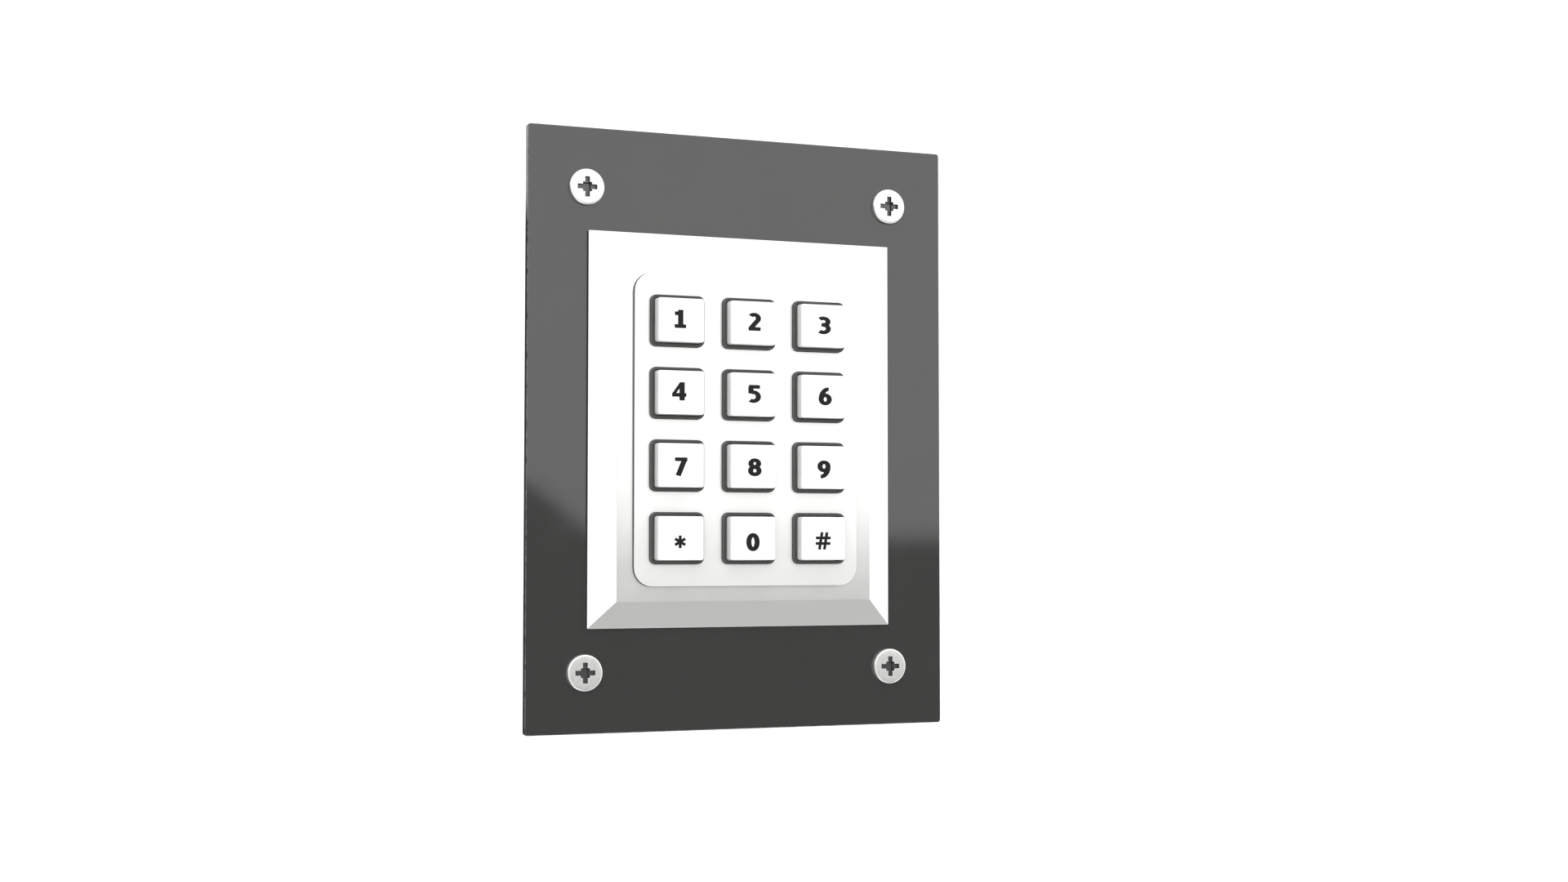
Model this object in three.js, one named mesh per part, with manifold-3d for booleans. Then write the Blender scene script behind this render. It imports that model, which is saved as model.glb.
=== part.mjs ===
// Keypad access reader, flush mounted: a dark metal faceplate that carries a white housing with
// twelve sprung keys, and behind it the circuit board and a rear housing that sits in the wall.
//
// Frame, in millimetres: the origin is the centre of the wall surface behind the faceplate,
// +X is to the right of a person who faces the keys, +Y goes into the wall and +Z is up.
// Sizes called width lie along X, heights along Z and thicknesses or depths along Y.

import * as THREE from "three";
import { ConvexGeometry } from "three/addons/geometries/ConvexGeometry.js";
import { mergeVertices } from "three/addons/utils/BufferGeometryUtils.js";
import Module from "manifold-3d";

const wasm = await Module();
wasm.setup();

// ---------------------------------------------------------------- driving dimensions

// Faceplate, wall gasket and wall screws
const plateWidth = 120;
const plateHeight = 160;
const plateThickness = 2;
const plateEdgeBevel = 0.45;
const plateCornerRadius = 0.8;
const gasketThickness = 1.5;
const gasketInset = 2;
const wallScrewInset = 16;
const wallScrewHeadRadius = 4.83;
const wallScrewHeadHeight = 1.2;
const wallScrewShankRadius = 2.1;
const wallScrewLength = 28;
const wallScrewTipLength = 4;
const wallScrewClearance = 0.3;

// Front bezel and the seal under it
const sealThickness = 0.6;
const sealInset = 0.2;
const bezelEdgeHeight = 0.3;
const bevelRise = 3;
const bevelWidth = 7;
const faceMarginWidth = 4.5;
const faceMarginHeight = 4;
const bezelSkin = 2;
const bezelLip = 3.5;
const skirtClearance = 0.3;
const skirtWall = 1.8;
const windowCornerRadius = 4;
const recessDepth = 1;
const ledgeWidth = 3;
const ledgeHeight = 3.5;

// Keypad: key guide frame, fascia and keys
const keyPitchWidth = 20.4;
const keyPitchHeight = 19.2;
const padMarginWidth = 4.2;
const padMarginHeight = 5.9;
const padCornerRadius = 5;
const padClearance = 0.05;
const guideProud = 0.9;
const fasciaThickness = 0.3;
const collarProud = 1.4;
const collarWall = 0.7;
const collarCornerRadius = 1.6;
const keyWidth = 13;
const keyHeight = 11.8;
const keyCornerRadius = 0.7;
const keyEdgeBevel = 0.35;
const keyProud = 2.6;
const keyClearance = 0.2;
const keyFlangeWidth = 0.8;
const keyFlangeThickness = 1;
const keyWall = 1.4;
const keyPostRadius = 2.6;

// Dome mat and circuit board
const domeHeight = 2.6;
const domeTopRadius = 2.4;
const domeBaseRadius = 4.6;
const domeWall = 0.6;
const contactGap = 1.3;
const contactRadius = 1.5;
const matThickness = 1;
const matMargin = 1;
const matCornerRadius = 6;
const boardThickness = 1.6;
const boardClearance = 0.5;
const coilGap = 0.8;
const coilWidth = 2.2;
const coilThickness = 0.9;

// Rear housing and the screws that hold the case together
const housingDepth = 24;
const housingWall = 2;
const housingGap = 1;
const housingCornerRadius = 5;
const flangeWidth = 4;
const flangeClearance = 0.3;
const bossInset = 3;
const bossRadius = 3.3;
const pillarRadius = 4.4;
const caseScrewRadius = 1.45;
const caseScrewClearance = 0.2;
const caseScrewHeadRadius = 2.8;
const caseScrewHeadHeight = 2;
const caseScrewSink = 0.4;
const caseScrewReach = 4;
const counterboreClearance = 0.3;

// Cable entry and tamper switch
const cableEntryHeight = -12;
const grommetBoreRadius = 3.6;
const grommetNeckRadius = 6;
const grommetFlangeRadius = 8.5;
const grommetLip = 1.4;
const plungerRadius = 1.5;
const plungerCollarRadius = 2.2;
const plungerCollarThickness = 1;
const plungerReach = 2.5;
const plungerClearance = 0.2;
const tamperSwitchSize = 8;
const tamperSwitchHeight = 7;

// Facets round a full turn of a plain, a small, a dome's and a finely shown round shape, and the
// curve steps of a rounded corner, which depend on its radius
const ROUND_STEPS = 24;
const SMALL_STEPS = 16;
const DOME_STEPS = 10;
const FINE_STEPS = 36;
const LARGE_CORNER_RADIUS = 2;
const LARGE_CORNER_STEPS = 3;
const SMALL_CORNER_STEPS = 1;
const OVERCUT = 1;

// ---------------------------------------------------------------- places worked out from them

// Depths, from the wall plane at zero to the key faces at the front (negative Y)
const plateRear = -gasketThickness;
const plateFront = plateRear - plateThickness;
const sealFront = plateFront - sealThickness;
const bevelStart = sealFront - bezelEdgeHeight;
const bezelFace = bevelStart - bevelRise;
const recessFloor = bezelFace + recessDepth;
const cavityFront = bezelFace + bezelSkin;
const guideFront = bezelFace - guideProud;
const padFront = guideFront - fasciaThickness;
const collarFront = padFront - collarProud;
const keyFace = collarFront - keyProud;
const keyRear = recessFloor + keyFlangeThickness;
const matFront = keyRear + domeHeight;
const boardFront = matFront + matThickness;
const boardRear = boardFront + boardThickness;
const housingFloor = housingDepth - housingWall;

// Widths and heights, from the keys outwards
const size = (width, height) => ({ width, height });
const grown = (box, by) => size(box.width + 2 * by, box.height + 2 * by);

const aperture = grown(size(keyWidth, keyHeight), keyClearance);
const collar = grown(aperture, collarWall);
const keyFlange = grown(size(keyWidth, keyHeight), keyFlangeWidth);
const collarField = size(2 * keyPitchWidth + collar.width, 3 * keyPitchHeight + collar.height);
const flangeField = size(2 * keyPitchWidth + keyFlange.width, 3 * keyPitchHeight + keyFlange.height);
const pad = size(collarField.width + 2 * padMarginWidth, collarField.height + 2 * padMarginHeight);
const face = size(pad.width + 2 * faceMarginWidth, pad.height + 2 * faceMarginHeight);
const bezel = grown(face, bevelWidth);
const plateWindow = grown(bezel, -bezelLip);
const skirt = grown(plateWindow, -skirtClearance);
const cavity = grown(skirt, -skirtWall);
const board = grown(cavity, -boardClearance);
const mat = grown(flangeField, matMargin);
const housingInner = grown(plateWindow, housingGap);
const housing = grown(housingInner, housingWall);
const housingFlange = grown(housing, flangeWidth);
const plate = size(plateWidth, plateHeight);

const bossX = cavity.width / 2 - bossInset;
const bossZ = cavity.height / 2 - bossInset;
const wallScrewX = plateWidth / 2 - wallScrewInset;
const wallScrewZ = plateHeight / 2 - wallScrewInset;

// ---------------------------------------------------------------- materials

const finish = (color, roughness, metalness = 0) =>
  new THREE.MeshStandardMaterial({ color, roughness, metalness });

const platePaint = () => finish(0x4a4a49, 0.35, 0.6);
const whitePlastic = () => finish(0xf1f1ef, 0.45);
const keyPlastic = () => finish(0xf6f6f4, 0.4);
const darkPlastic = () => finish(0x2c2c2c, 0.5);
const blackRubber = () => finish(0x1b1b1b, 0.85);
const greyPlastic = () => finish(0x55575a, 0.6);
const silicone = () => finish(0xc9ccce, 0.7);
const boardLaminate = () => finish(0x1f5b36, 0.5);
const copper = () => finish(0xb5713a, 0.35, 0.9);
const chipEpoxy = () => finish(0x202124, 0.6);
const tinPlate = () => finish(0xc4c7c9, 0.3, 0.95);
const steel = () => finish(0xd6d6d4, 0.3, 0.9);
const relayPlastic = () => finish(0x2d5f9e, 0.45);
const terminalPlastic = () => finish(0x3b8f5a, 0.5);
const buttonRed = () => finish(0xa8322a, 0.5);

// ---------------------------------------------------------------- solids

function toSolid(geometry) {
  const bare = geometry.clone();
  bare.deleteAttribute("normal");
  bare.deleteAttribute("uv");
  const merged = mergeVertices(bare, 1e-4);
  return new wasm.Manifold(
    new wasm.Mesh({
      numProp: 3,
      vertProperties: new Float32Array(merged.attributes.position.array),
      triVerts: new Uint32Array(merged.index.array),
    }),
  );
}

function toGeometry(solid) {
  const mesh = solid.getMesh();
  const geometry = new THREE.BufferGeometry();
  geometry.setAttribute("position", new THREE.BufferAttribute(mesh.vertProperties, 3));
  geometry.setIndex(new THREE.BufferAttribute(mesh.triVerts, 1));
  const flat = geometry.toNonIndexed();
  flat.computeVertexNormals();
  return flat;
}

const cornerSteps = (radius) =>
  radius < LARGE_CORNER_RADIUS ? SMALL_CORNER_STEPS : LARGE_CORNER_STEPS;

function roundedShape(box, radius) {
  const x = box.width / 2;
  const z = box.height / 2;
  const shape = new THREE.Shape();
  if (radius <= 0) {
    shape.moveTo(-x, -z).lineTo(x, -z).lineTo(x, z).lineTo(-x, z).closePath();
    return shape;
  }
  shape.absarc(x - radius, z - radius, radius, 0, Math.PI / 2);
  shape.absarc(-x + radius, z - radius, radius, Math.PI / 2, Math.PI);
  shape.absarc(-x + radius, -z + radius, radius, Math.PI, 1.5 * Math.PI);
  shape.absarc(x - radius, -z + radius, radius, 1.5 * Math.PI, 2 * Math.PI);
  shape.closePath();
  return shape;
}

// A flat slab of the outline, between two depths. The front depth is the smaller one.
function slab(box, radius, front, rear, x = 0, z = 0) {
  const geometry = new THREE.ExtrudeGeometry(roundedShape(box, radius), {
    depth: rear - front,
    bevelEnabled: false,
    curveSegments: cornerSteps(radius),
  });
  geometry.rotateX(Math.PI / 2).translate(x, rear, z);
  return toSolid(geometry);
}

// The same slab with its front and rear rims bevelled.
function bevelledSlab(box, radius, front, rear, bevel, steps = 1, x = 0, z = 0) {
  const geometry = new THREE.ExtrudeGeometry(roundedShape(grown(box, -bevel), radius), {
    depth: rear - front - 2 * bevel,
    bevelThickness: bevel,
    bevelSize: bevel,
    bevelSegments: steps,
    curveSegments: cornerSteps(radius),
  });
  geometry.rotateX(Math.PI / 2).translate(x, rear - bevel, z);
  return toSolid(geometry);
}

// A round body about a line along Y. The profile is a list of [radius, y] that starts and ends
// on the axis with y falling, so that its faces point out.
function turned(profile, x = 0, z = 0, steps = ROUND_STEPS) {
  const points = profile.map(([radius, y]) => new THREE.Vector2(radius, y));
  const geometry = new THREE.LatheGeometry(points, steps);
  const solid = toSolid(geometry);
  if (solid.volume() < 0) {
    return turned([...profile].reverse(), x, z, steps);
  }
  return solid.translate([x, 0, z]);
}

const rod = (radius, front, rear, x = 0, z = 0, steps = ROUND_STEPS) =>
  turned([[0, front], [radius, front], [radius, rear], [0, rear]], x, z, steps);

// A four-sided block that narrows from one outline at the rear to another at the front.
function taperedBlock(rearBox, rear, frontBox, front) {
  const points = [];
  for (const [box, y] of [[rearBox, rear], [frontBox, front]]) {
    for (const sx of [-1, 1]) {
      for (const sz of [-1, 1]) {
        points.push(new THREE.Vector3((sx * box.width) / 2, y, (sz * box.height) / 2));
      }
    }
  }
  return toSolid(new ConvexGeometry(points));
}

// The four places (+-x, +-z), with a name for each.
function corners(x, z) {
  return [
    { name: "upper_left", x: -x, z },
    { name: "upper_right", x, z },
    { name: "lower_left", x: -x, z: -z },
    { name: "lower_right", x, z: -z },
  ];
}

// A cross recess: two crossed bars, and a deeper square well where they meet.
function crossRecess(length, width, depth, wellWidth, wellDepth, mouth, towards, x, z) {
  const near = (d) => (towards > 0 ? mouth - OVERCUT : mouth - d);
  const far = (d) => (towards > 0 ? mouth + d : mouth + OVERCUT);
  const bar = slab(size(length, width), 0, near(depth), far(depth), x, z);
  const crossBar = slab(size(width, length), 0, near(depth), far(depth), x, z);
  const well = slab(size(wellWidth, wellWidth), 0, near(wellDepth), far(wellDepth), x, z);
  return bar.add(crossBar).add(well);
}

const part = new THREE.Group();

function place(name, solid, material) {
  const mesh = new THREE.Mesh(toGeometry(solid), material);
  mesh.name = name;
  part.add(mesh);
}

// ---------------------------------------------------------------- faceplate, gasket, seal

function makeFaceplate() {
  let solid = bevelledSlab(plate, plateCornerRadius, plateFront, plateRear, plateEdgeBevel);
  const windowCut = slab(plateWindow, windowCornerRadius, plateFront - OVERCUT, plateRear + OVERCUT);
  solid = solid.subtract(windowCut);
  const holeRadius = wallScrewShankRadius + wallScrewClearance;
  for (const { x, z } of corners(wallScrewX, wallScrewZ)) {
    solid = solid.subtract(rod(holeRadius, plateFront - OVERCUT, plateRear + OVERCUT, x, z));
  }
  place("faceplate", solid, platePaint());
}

function makeWallGasket() {
  let solid = slab(grown(plate, -gasketInset), plateCornerRadius, plateRear, 0);
  const opening = grown(housingFlange, flangeClearance);
  solid = solid.subtract(slab(opening, housingCornerRadius, plateRear - OVERCUT, OVERCUT));
  const holeRadius = wallScrewShankRadius + wallScrewClearance;
  for (const { x, z } of corners(wallScrewX, wallScrewZ)) {
    solid = solid.subtract(rod(holeRadius, plateRear - OVERCUT, OVERCUT, x, z));
  }
  place("wall_gasket", solid, blackRubber());
}

function makeBezelSeal() {
  const outer = slab(grown(bezel, -sealInset), 0, sealFront, plateFront);
  const inner = slab(plateWindow, windowCornerRadius, sealFront - OVERCUT, plateFront + OVERCUT);
  place("bezel_seal", outer.subtract(inner), blackRubber());
}

// ---------------------------------------------------------------- front bezel

function makeFrontBezel() {
  const edge = slab(bezel, 0, bevelStart, sealFront);
  const bevel = taperedBlock(bezel, bevelStart, face, bezelFace);
  const skirtWalls = slab(skirt, windowCornerRadius, bevelStart, plateRear);
  let solid = edge.add(bevel).add(skirtWalls);

  const cavityCorner = windowCornerRadius - skirtWall;
  solid = solid.subtract(slab(cavity, cavityCorner, cavityFront, plateRear + OVERCUT));

  const recess = grown(pad, padClearance);
  solid = solid.subtract(slab(recess, padCornerRadius, bezelFace - OVERCUT, recessFloor));
  const keyWindow = size(pad.width - 2 * ledgeWidth, pad.height - 2 * ledgeHeight);
  solid = solid.subtract(slab(keyWindow, padCornerRadius, bezelFace, cavityFront + OVERCUT));

  const pilotRadius = caseScrewRadius + padClearance;
  for (const { x, z } of corners(bossX, bossZ)) {
    const bossFront = cavityFront - bezelSkin / 2;
    solid = solid.add(rod(bossRadius, bossFront, boardFront, x, z, SMALL_STEPS));
    const pilotEnd = boardFront - caseScrewReach - caseScrewClearance;
    solid = solid.subtract(rod(pilotRadius, pilotEnd, boardFront + OVERCUT, x, z, SMALL_STEPS));
  }
  place("front_bezel", solid, whitePlastic());
}

// ---------------------------------------------------------------- keypad

const keyNames = [
  ["1", "2", "3"],
  ["4", "5", "6"],
  ["7", "8", "9"],
  ["star", "0", "hash"],
];

const keyPlaces = keyNames.flatMap((row, r) =>
  row.map((label, c) => ({
    label,
    x: (c - 1) * keyPitchWidth,
    z: (1.5 - r) * keyPitchHeight,
  })),
);

// One dark moulding: a base plate in the bezel's recess, with a raised collar around each key.
function makeKeyGuideFrame() {
  let solid = slab(pad, padCornerRadius, guideFront, recessFloor);
  const apertureCorner = keyCornerRadius + keyClearance;
  for (const { x, z } of keyPlaces) {
    solid = solid.add(slab(collar, collarCornerRadius, collarFront, recessFloor, x, z));
  }
  for (const { x, z } of keyPlaces) {
    const cut = slab(aperture, apertureCorner, collarFront - OVERCUT, recessFloor + OVERCUT, x, z);
    solid = solid.subtract(cut);
  }
  place("key_guide_frame", solid, darkPlastic());
}

// A thin white overlay on the guide frame. The collars stand through its openings.
function makeFascia() {
  let solid = slab(pad, padCornerRadius, padFront, guideFront);
  const opening = grown(collar, padClearance);
  const openingCorner = collarCornerRadius + padClearance;
  for (const { x, z } of keyPlaces) {
    const cut = slab(opening, openingCorner, padFront - OVERCUT, guideFront + OVERCUT, x, z);
    solid = solid.subtract(cut);
  }
  place("keypad_fascia", solid, whitePlastic());
}

// A hollow cap with a flange that stops against the guide frame, and a post for the dome.
function makeKey({ label, x, z }) {
  const cap = size(keyWidth, keyHeight);
  const capRear = recessFloor + keyFlangeThickness / 2 + keyEdgeBevel;
  let solid = bevelledSlab(cap, keyCornerRadius, keyFace, capRear, keyEdgeBevel, 1, x, z);
  solid = solid.add(slab(keyFlange, 0, recessFloor, keyRear, x, z));
  const pocket = grown(cap, -keyWall);
  const pocketFront = keyFace + keyWall;
  solid = solid.subtract(slab(pocket, 0, pocketFront, keyRear + OVERCUT, x, z));
  solid = solid.add(rod(keyPostRadius, keyFace + keyWall / 2, keyRear, x, z, DOME_STEPS));
  place(`key_${label}`, solid, keyPlastic());
}

// One silicone sheet with a hollow dome and a contact under each key.
function makeDomeMat() {
  const domeTop = keyRear + 2 * domeWall;
  let solid = slab(mat, matCornerRadius, matFront, boardFront);
  for (const { x, z } of keyPlaces) {
    const dome = [
      [0, keyRear],
      [domeTopRadius, keyRear],
      [domeTopRadius + domeWall / 2, keyRear + domeWall],
      [domeBaseRadius, matFront],
      [domeBaseRadius, matFront + matThickness / 2],
      [0, matFront + matThickness / 2],
    ];
    solid = solid.add(turned(dome, x, z, DOME_STEPS));
  }
  for (const { x, z } of keyPlaces) {
    const hollow = [
      [0, boardFront - contactGap],
      [contactRadius, boardFront - contactGap],
      [contactRadius, domeTop],
      [domeTopRadius - domeWall / 2, domeTop],
      [domeBaseRadius - domeWall, matFront + domeWall / 2],
      [domeBaseRadius - domeWall, boardFront + OVERCUT],
      [0, boardFront + OVERCUT],
    ];
    solid = solid.subtract(turned(hollow, x, z, DOME_STEPS));
  }
  place("dome_mat", solid, silicone());
}

// ---------------------------------------------------------------- circuit board

function makeBoard() {
  let solid = slab(board, windowCornerRadius - skirtWall, boardFront, boardRear);
  for (const { x, z } of corners(bossX, bossZ)) {
    const hole = caseScrewRadius + caseScrewClearance;
    solid = solid.subtract(rod(hole, boardFront - OVERCUT, boardRear + OVERCUT, x, z, SMALL_STEPS));
  }
  place("circuit_board", solid, boardLaminate());
}

// The reader's antenna: a flat wound ring around the dome mat, on the board's front.
function makeAntennaCoil() {
  const inner = grown(mat, coilGap);
  const front = boardFront - coilThickness;
  const outer = slab(grown(inner, coilWidth), matCornerRadius + coilWidth, front, boardFront);
  const cut = slab(inner, matCornerRadius, front - OVERCUT, boardFront + OVERCUT);
  place("antenna_coil", outer.subtract(cut), copper());
}

function makeControllerChip() {
  const body = { side: 10, thickness: 1.6, standoff: 0.3 };
  const leg = { width: 0.6, pitch: 1.2, length: 1.2, perSide: 7 };
  const x = 0;
  const z = board.height / 2 - 32;
  const front = boardRear + body.standoff;
  const bodyBox = size(body.side, body.side);
  let solid = bevelledSlab(bodyBox, 0.2, front, front + body.thickness, 0.2, 1, x, z);
  const reach = body.side + 2 * leg.length;
  for (let i = 0; i < leg.perSide; i += 1) {
    const along = (i - (leg.perSide - 1) / 2) * leg.pitch;
    const legRear = front + body.thickness / 2;
    solid = solid.add(slab(size(reach, leg.width), 0, boardRear, legRear, x, z + along));
  }
  place("controller_chip", solid, chipEpoxy());
}

function makeCrystal() {
  const can = { width: 11, height: 4.6, depth: 3.5, base: 0.4 };
  const z = board.height / 2 - 46;
  const canBox = size(can.width, can.height);
  const base = slab(canBox, can.height / 2 - 0.01, boardRear, boardRear + can.base, 0, z);
  const top = grown(canBox, -can.base);
  const rear = boardRear + can.depth;
  const lid = slab(top, top.height / 2 - 0.01, boardRear + can.base / 2, rear, 0, z);
  place("crystal", base.add(lid), tinPlate());
}

function makeCapacitor() {
  const can = { radius: 4, height: 10, grooveDepth: 0.4, grooveFrom: 1.2, grooveTo: 2.2 };
  const x = board.width / 2 - 16;
  const z = board.height / 2 - 40;
  const neck = can.radius - can.grooveDepth;
  const profile = [
    [0, boardRear],
    [can.radius, boardRear],
    [can.radius, boardRear + can.grooveFrom],
    [neck, boardRear + (can.grooveFrom + can.grooveTo) / 2],
    [can.radius, boardRear + can.grooveTo],
    [can.radius, boardRear + can.height - can.grooveDepth],
    [neck, boardRear + can.height],
    [0, boardRear + can.height],
  ];
  place("capacitor", turned(profile, x, z), chipEpoxy());
}

function makeBuzzer() {
  const can = { radius: 6, height: 8, rim: 0.6, soundHole: 1.2, soundDepth: 2 };
  const x = board.width / 2 - 16;
  const z = board.height / 2 - 20;
  const rear = boardRear + can.height;
  const profile = [
    [0, boardRear],
    [can.radius, boardRear],
    [can.radius, rear - can.rim],
    [can.radius - can.rim, rear],
    [can.soundHole, rear],
    [can.soundHole, rear - can.soundDepth],
    [0, rear - can.soundDepth],
  ];
  place("buzzer", turned(profile, x, z), chipEpoxy());
}

function makeRelay() {
  const box = { width: 15.5, height: 19, depth: 15, edge: 0.6 };
  const x = -board.width / 2 + 18;
  const z = board.height / 2 - 24;
  const rear = boardRear + box.depth;
  const outline = size(box.width, box.height);
  const solid = bevelledSlab(outline, 0.4, boardRear, rear, box.edge, 1, x, z);
  place("relay", solid, relayPlastic());
}

function makeRegulator() {
  const body = { width: 6.5, height: 6, depth: 2.3, edge: 0.2 };
  const tab = { width: 5.4, height: 10, depth: 0.6 };
  const x = -board.width / 2 + 18;
  const z = board.height / 2 - 48;
  const bodyBox = size(body.width, body.height);
  const block = bevelledSlab(bodyBox, 0.2, boardRear, boardRear + body.depth, body.edge, 1, x, z);
  const tabSlab = slab(size(tab.width, tab.height), 0, boardRear, boardRear + tab.depth, x, z);
  place("voltage_regulator", block.add(tabSlab), chipEpoxy());
}

// A row of six screw terminals: each has a screw well from behind and a wire entry from below.
function makeTerminals() {
  const way = { count: 6, pitch: 5, height: 8, depth: 10, edge: 0.4 };
  const screw = { radius: 1.8, clearance: 0.2, length: 4, sink: 1 };
  const slot = { width: 0.6, depth: 0.8 };
  const entry = { width: 3, from: 2, depth: 3.4 };
  const z = -board.height / 2 + 13;
  const rear = boardRear + way.depth;
  const outline = size(way.count * way.pitch, way.height);
  let block = bevelledSlab(outline, 0.2, boardRear, rear, way.edge, 1, 0, z);
  for (let i = 0; i < way.count; i += 1) {
    const x = (i - (way.count - 1) / 2) * way.pitch;
    const wellFloor = rear - screw.sink - screw.length - screw.clearance;
    block = block.subtract(rod(screw.radius + screw.clearance, wellFloor, rear + OVERCUT, x, z, SMALL_STEPS));
    const mouthZ = z - way.height / 2;
    const entryFront = boardRear + entry.from;
    const entryRear = entryFront + entry.width;
    const entryBox = size(entry.width, 2 * entry.depth);
    block = block.subtract(slab(entryBox, 0, entryFront, entryRear, x, mouthZ));

    const screwRear = rear - screw.sink;
    const stud = rod(screw.radius, screwRear - screw.length, screwRear, x, z, SMALL_STEPS);
    const slotFront = screwRear - slot.depth;
    const slotBox = size(3 * screw.radius, slot.width);
    const slotCut = slab(slotBox, 0, slotFront, screwRear + OVERCUT, x, z);
    place(`terminal_screw_${i + 1}`, stud.subtract(slotCut), steel());
  }
  place("terminal_block", block, terminalPlastic());
}

// ---------------------------------------------------------------- tamper switch

const tamperX = board.width / 2 - 15;
const tamperZ = -board.height / 2 + 28;

function makeTamperSwitch() {
  const rear = boardRear + tamperSwitchHeight;
  const outline = size(tamperSwitchSize, tamperSwitchSize);
  let solid = bevelledSlab(outline, 0.3, boardRear, rear, 0.3, 1, tamperX, tamperZ);
  const well = plungerRadius + plungerClearance;
  const wellFront = rear - plungerReach - plungerClearance - 1;
  solid = solid.subtract(rod(well, wellFront, rear + OVERCUT, tamperX, tamperZ));
  place("tamper_switch_body", solid, chipEpoxy());

  const tip = housingDepth + plungerReach;
  const start = rear - 1;
  const collarRear = housingFloor;
  const round = plungerRadius / 2;
  const profile = [
    [0, start],
    [plungerRadius, start],
    [plungerRadius, collarRear - plungerCollarThickness],
    [plungerCollarRadius, collarRear - plungerCollarThickness],
    [plungerCollarRadius, collarRear],
    [plungerRadius, collarRear],
    [plungerRadius, tip - round],
    [plungerRadius - round / 2, tip - round / 3],
    [0, tip],
  ];
  place("tamper_plunger", turned(profile, tamperX, tamperZ), buttonRed());
}

// ---------------------------------------------------------------- rear housing

function makeRearHousing() {
  const innerCorner = housingCornerRadius - housingWall;
  const floorBevel = 1;
  let solid = bevelledSlab(housing, housingCornerRadius, plateRear, housingDepth, floorBevel, 2);
  const trim = grown(housing, OVERCUT);
  solid = solid.subtract(slab(trim, 0, plateRear - OVERCUT, -gasketThickness / 3));
  solid = solid.add(slab(housingFlange, housingCornerRadius, plateRear, 0));
  solid = solid.subtract(slab(housingInner, innerCorner, plateRear - OVERCUT, housingFloor));

  // Each pillar clamps the board against a boss of the bezel.
  const shank = caseScrewRadius + caseScrewClearance;
  const headWell = caseScrewHeadRadius + counterboreClearance;
  const headFront = housingDepth - caseScrewSink - caseScrewHeadHeight;
  for (const { x, z } of corners(bossX, bossZ)) {
    const pillar = rod(pillarRadius, boardRear, housingFloor + housingWall / 2, x, z, SMALL_STEPS);
    const bore = rod(shank, boardRear - OVERCUT, housingDepth + OVERCUT, x, z, SMALL_STEPS);
    const well = rod(headWell, headFront, housingDepth + OVERCUT, x, z, SMALL_STEPS);
    solid = solid.add(pillar).subtract(bore).subtract(well);
  }

  const cableHole = grommetNeckRadius + plungerClearance;
  const cut = rod(cableHole, housingFloor - OVERCUT, housingDepth + OVERCUT, 0, cableEntryHeight);
  solid = solid.subtract(cut);
  const guideHole = plungerRadius + plungerClearance;
  const guide = [housingFloor - OVERCUT, housingDepth + OVERCUT, tamperX, tamperZ];
  solid = solid.subtract(rod(guideHole, ...guide));
  place("rear_housing", solid, greyPlastic());
}

function makeCableGrommet() {
  const front = housingFloor - grommetLip;
  const rear = housingDepth + grommetLip;
  const taper = grommetLip / 2;
  const body = [
    [0, front],
    [grommetFlangeRadius - taper, front],
    [grommetFlangeRadius, front + taper],
    [grommetFlangeRadius, housingFloor],
    [grommetNeckRadius, housingFloor],
    [grommetNeckRadius, housingDepth],
    [grommetFlangeRadius, housingDepth],
    [grommetFlangeRadius, rear - taper],
    [grommetFlangeRadius - taper, rear],
    [0, rear],
  ];
  const bore = rod(grommetBoreRadius, front - OVERCUT, rear + OVERCUT, 0, cableEntryHeight);
  place("cable_grommet", turned(body, 0, cableEntryHeight).subtract(bore), blackRubber());
}

// ---------------------------------------------------------------- screws

function makeWallScrews() {
  const headFront = plateFront - wallScrewHeadHeight;
  const tip = wallScrewLength;
  const edge = 0.25;
  const profile = [
    [0, headFront],
    [wallScrewHeadRadius - edge, headFront],
    [wallScrewHeadRadius, headFront + edge],
    [wallScrewHeadRadius, plateFront],
    [wallScrewShankRadius, plateFront],
    [wallScrewShankRadius, tip - wallScrewTipLength],
    [0, tip],
  ];
  const cross = { length: 5.4, width: 1.3, depth: 0.9, well: 2.5, wellDepth: 2.2 };
  for (const { name, x, z } of corners(wallScrewX, wallScrewZ)) {
    const recess = crossRecess(
      cross.length, cross.width, cross.depth, cross.well, cross.wellDepth, headFront, 1, x, z,
    );
    const screw = turned(profile, x, z, FINE_STEPS).subtract(recess);
    place(`wall_screw_${name}`, screw, steel());
  }
}

function makeCaseScrews() {
  const headRear = housingDepth - caseScrewSink;
  const headFront = headRear - caseScrewHeadHeight;
  const tip = boardFront - caseScrewReach;
  const edge = 0.4;
  const profile = [
    [0, tip],
    [caseScrewRadius - edge, tip],
    [caseScrewRadius, tip + edge],
    [caseScrewRadius, headFront],
    [caseScrewHeadRadius, headFront],
    [caseScrewHeadRadius, headRear - edge],
    [caseScrewHeadRadius - edge, headRear],
    [0, headRear],
  ];
  const cross = { length: 3.2, width: 0.8, depth: 1.1, well: 1.4, wellDepth: 1.6 };
  for (const { name, x, z } of corners(bossX, bossZ)) {
    const recess = crossRecess(
      cross.length, cross.width, cross.depth, cross.well, cross.wellDepth, headRear, -1, x, z,
    );
    const screw = turned(profile, x, z, SMALL_STEPS).subtract(recess);
    place(`case_screw_${name}`, screw, steel());
  }
}

// ---------------------------------------------------------------- assembly

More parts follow.
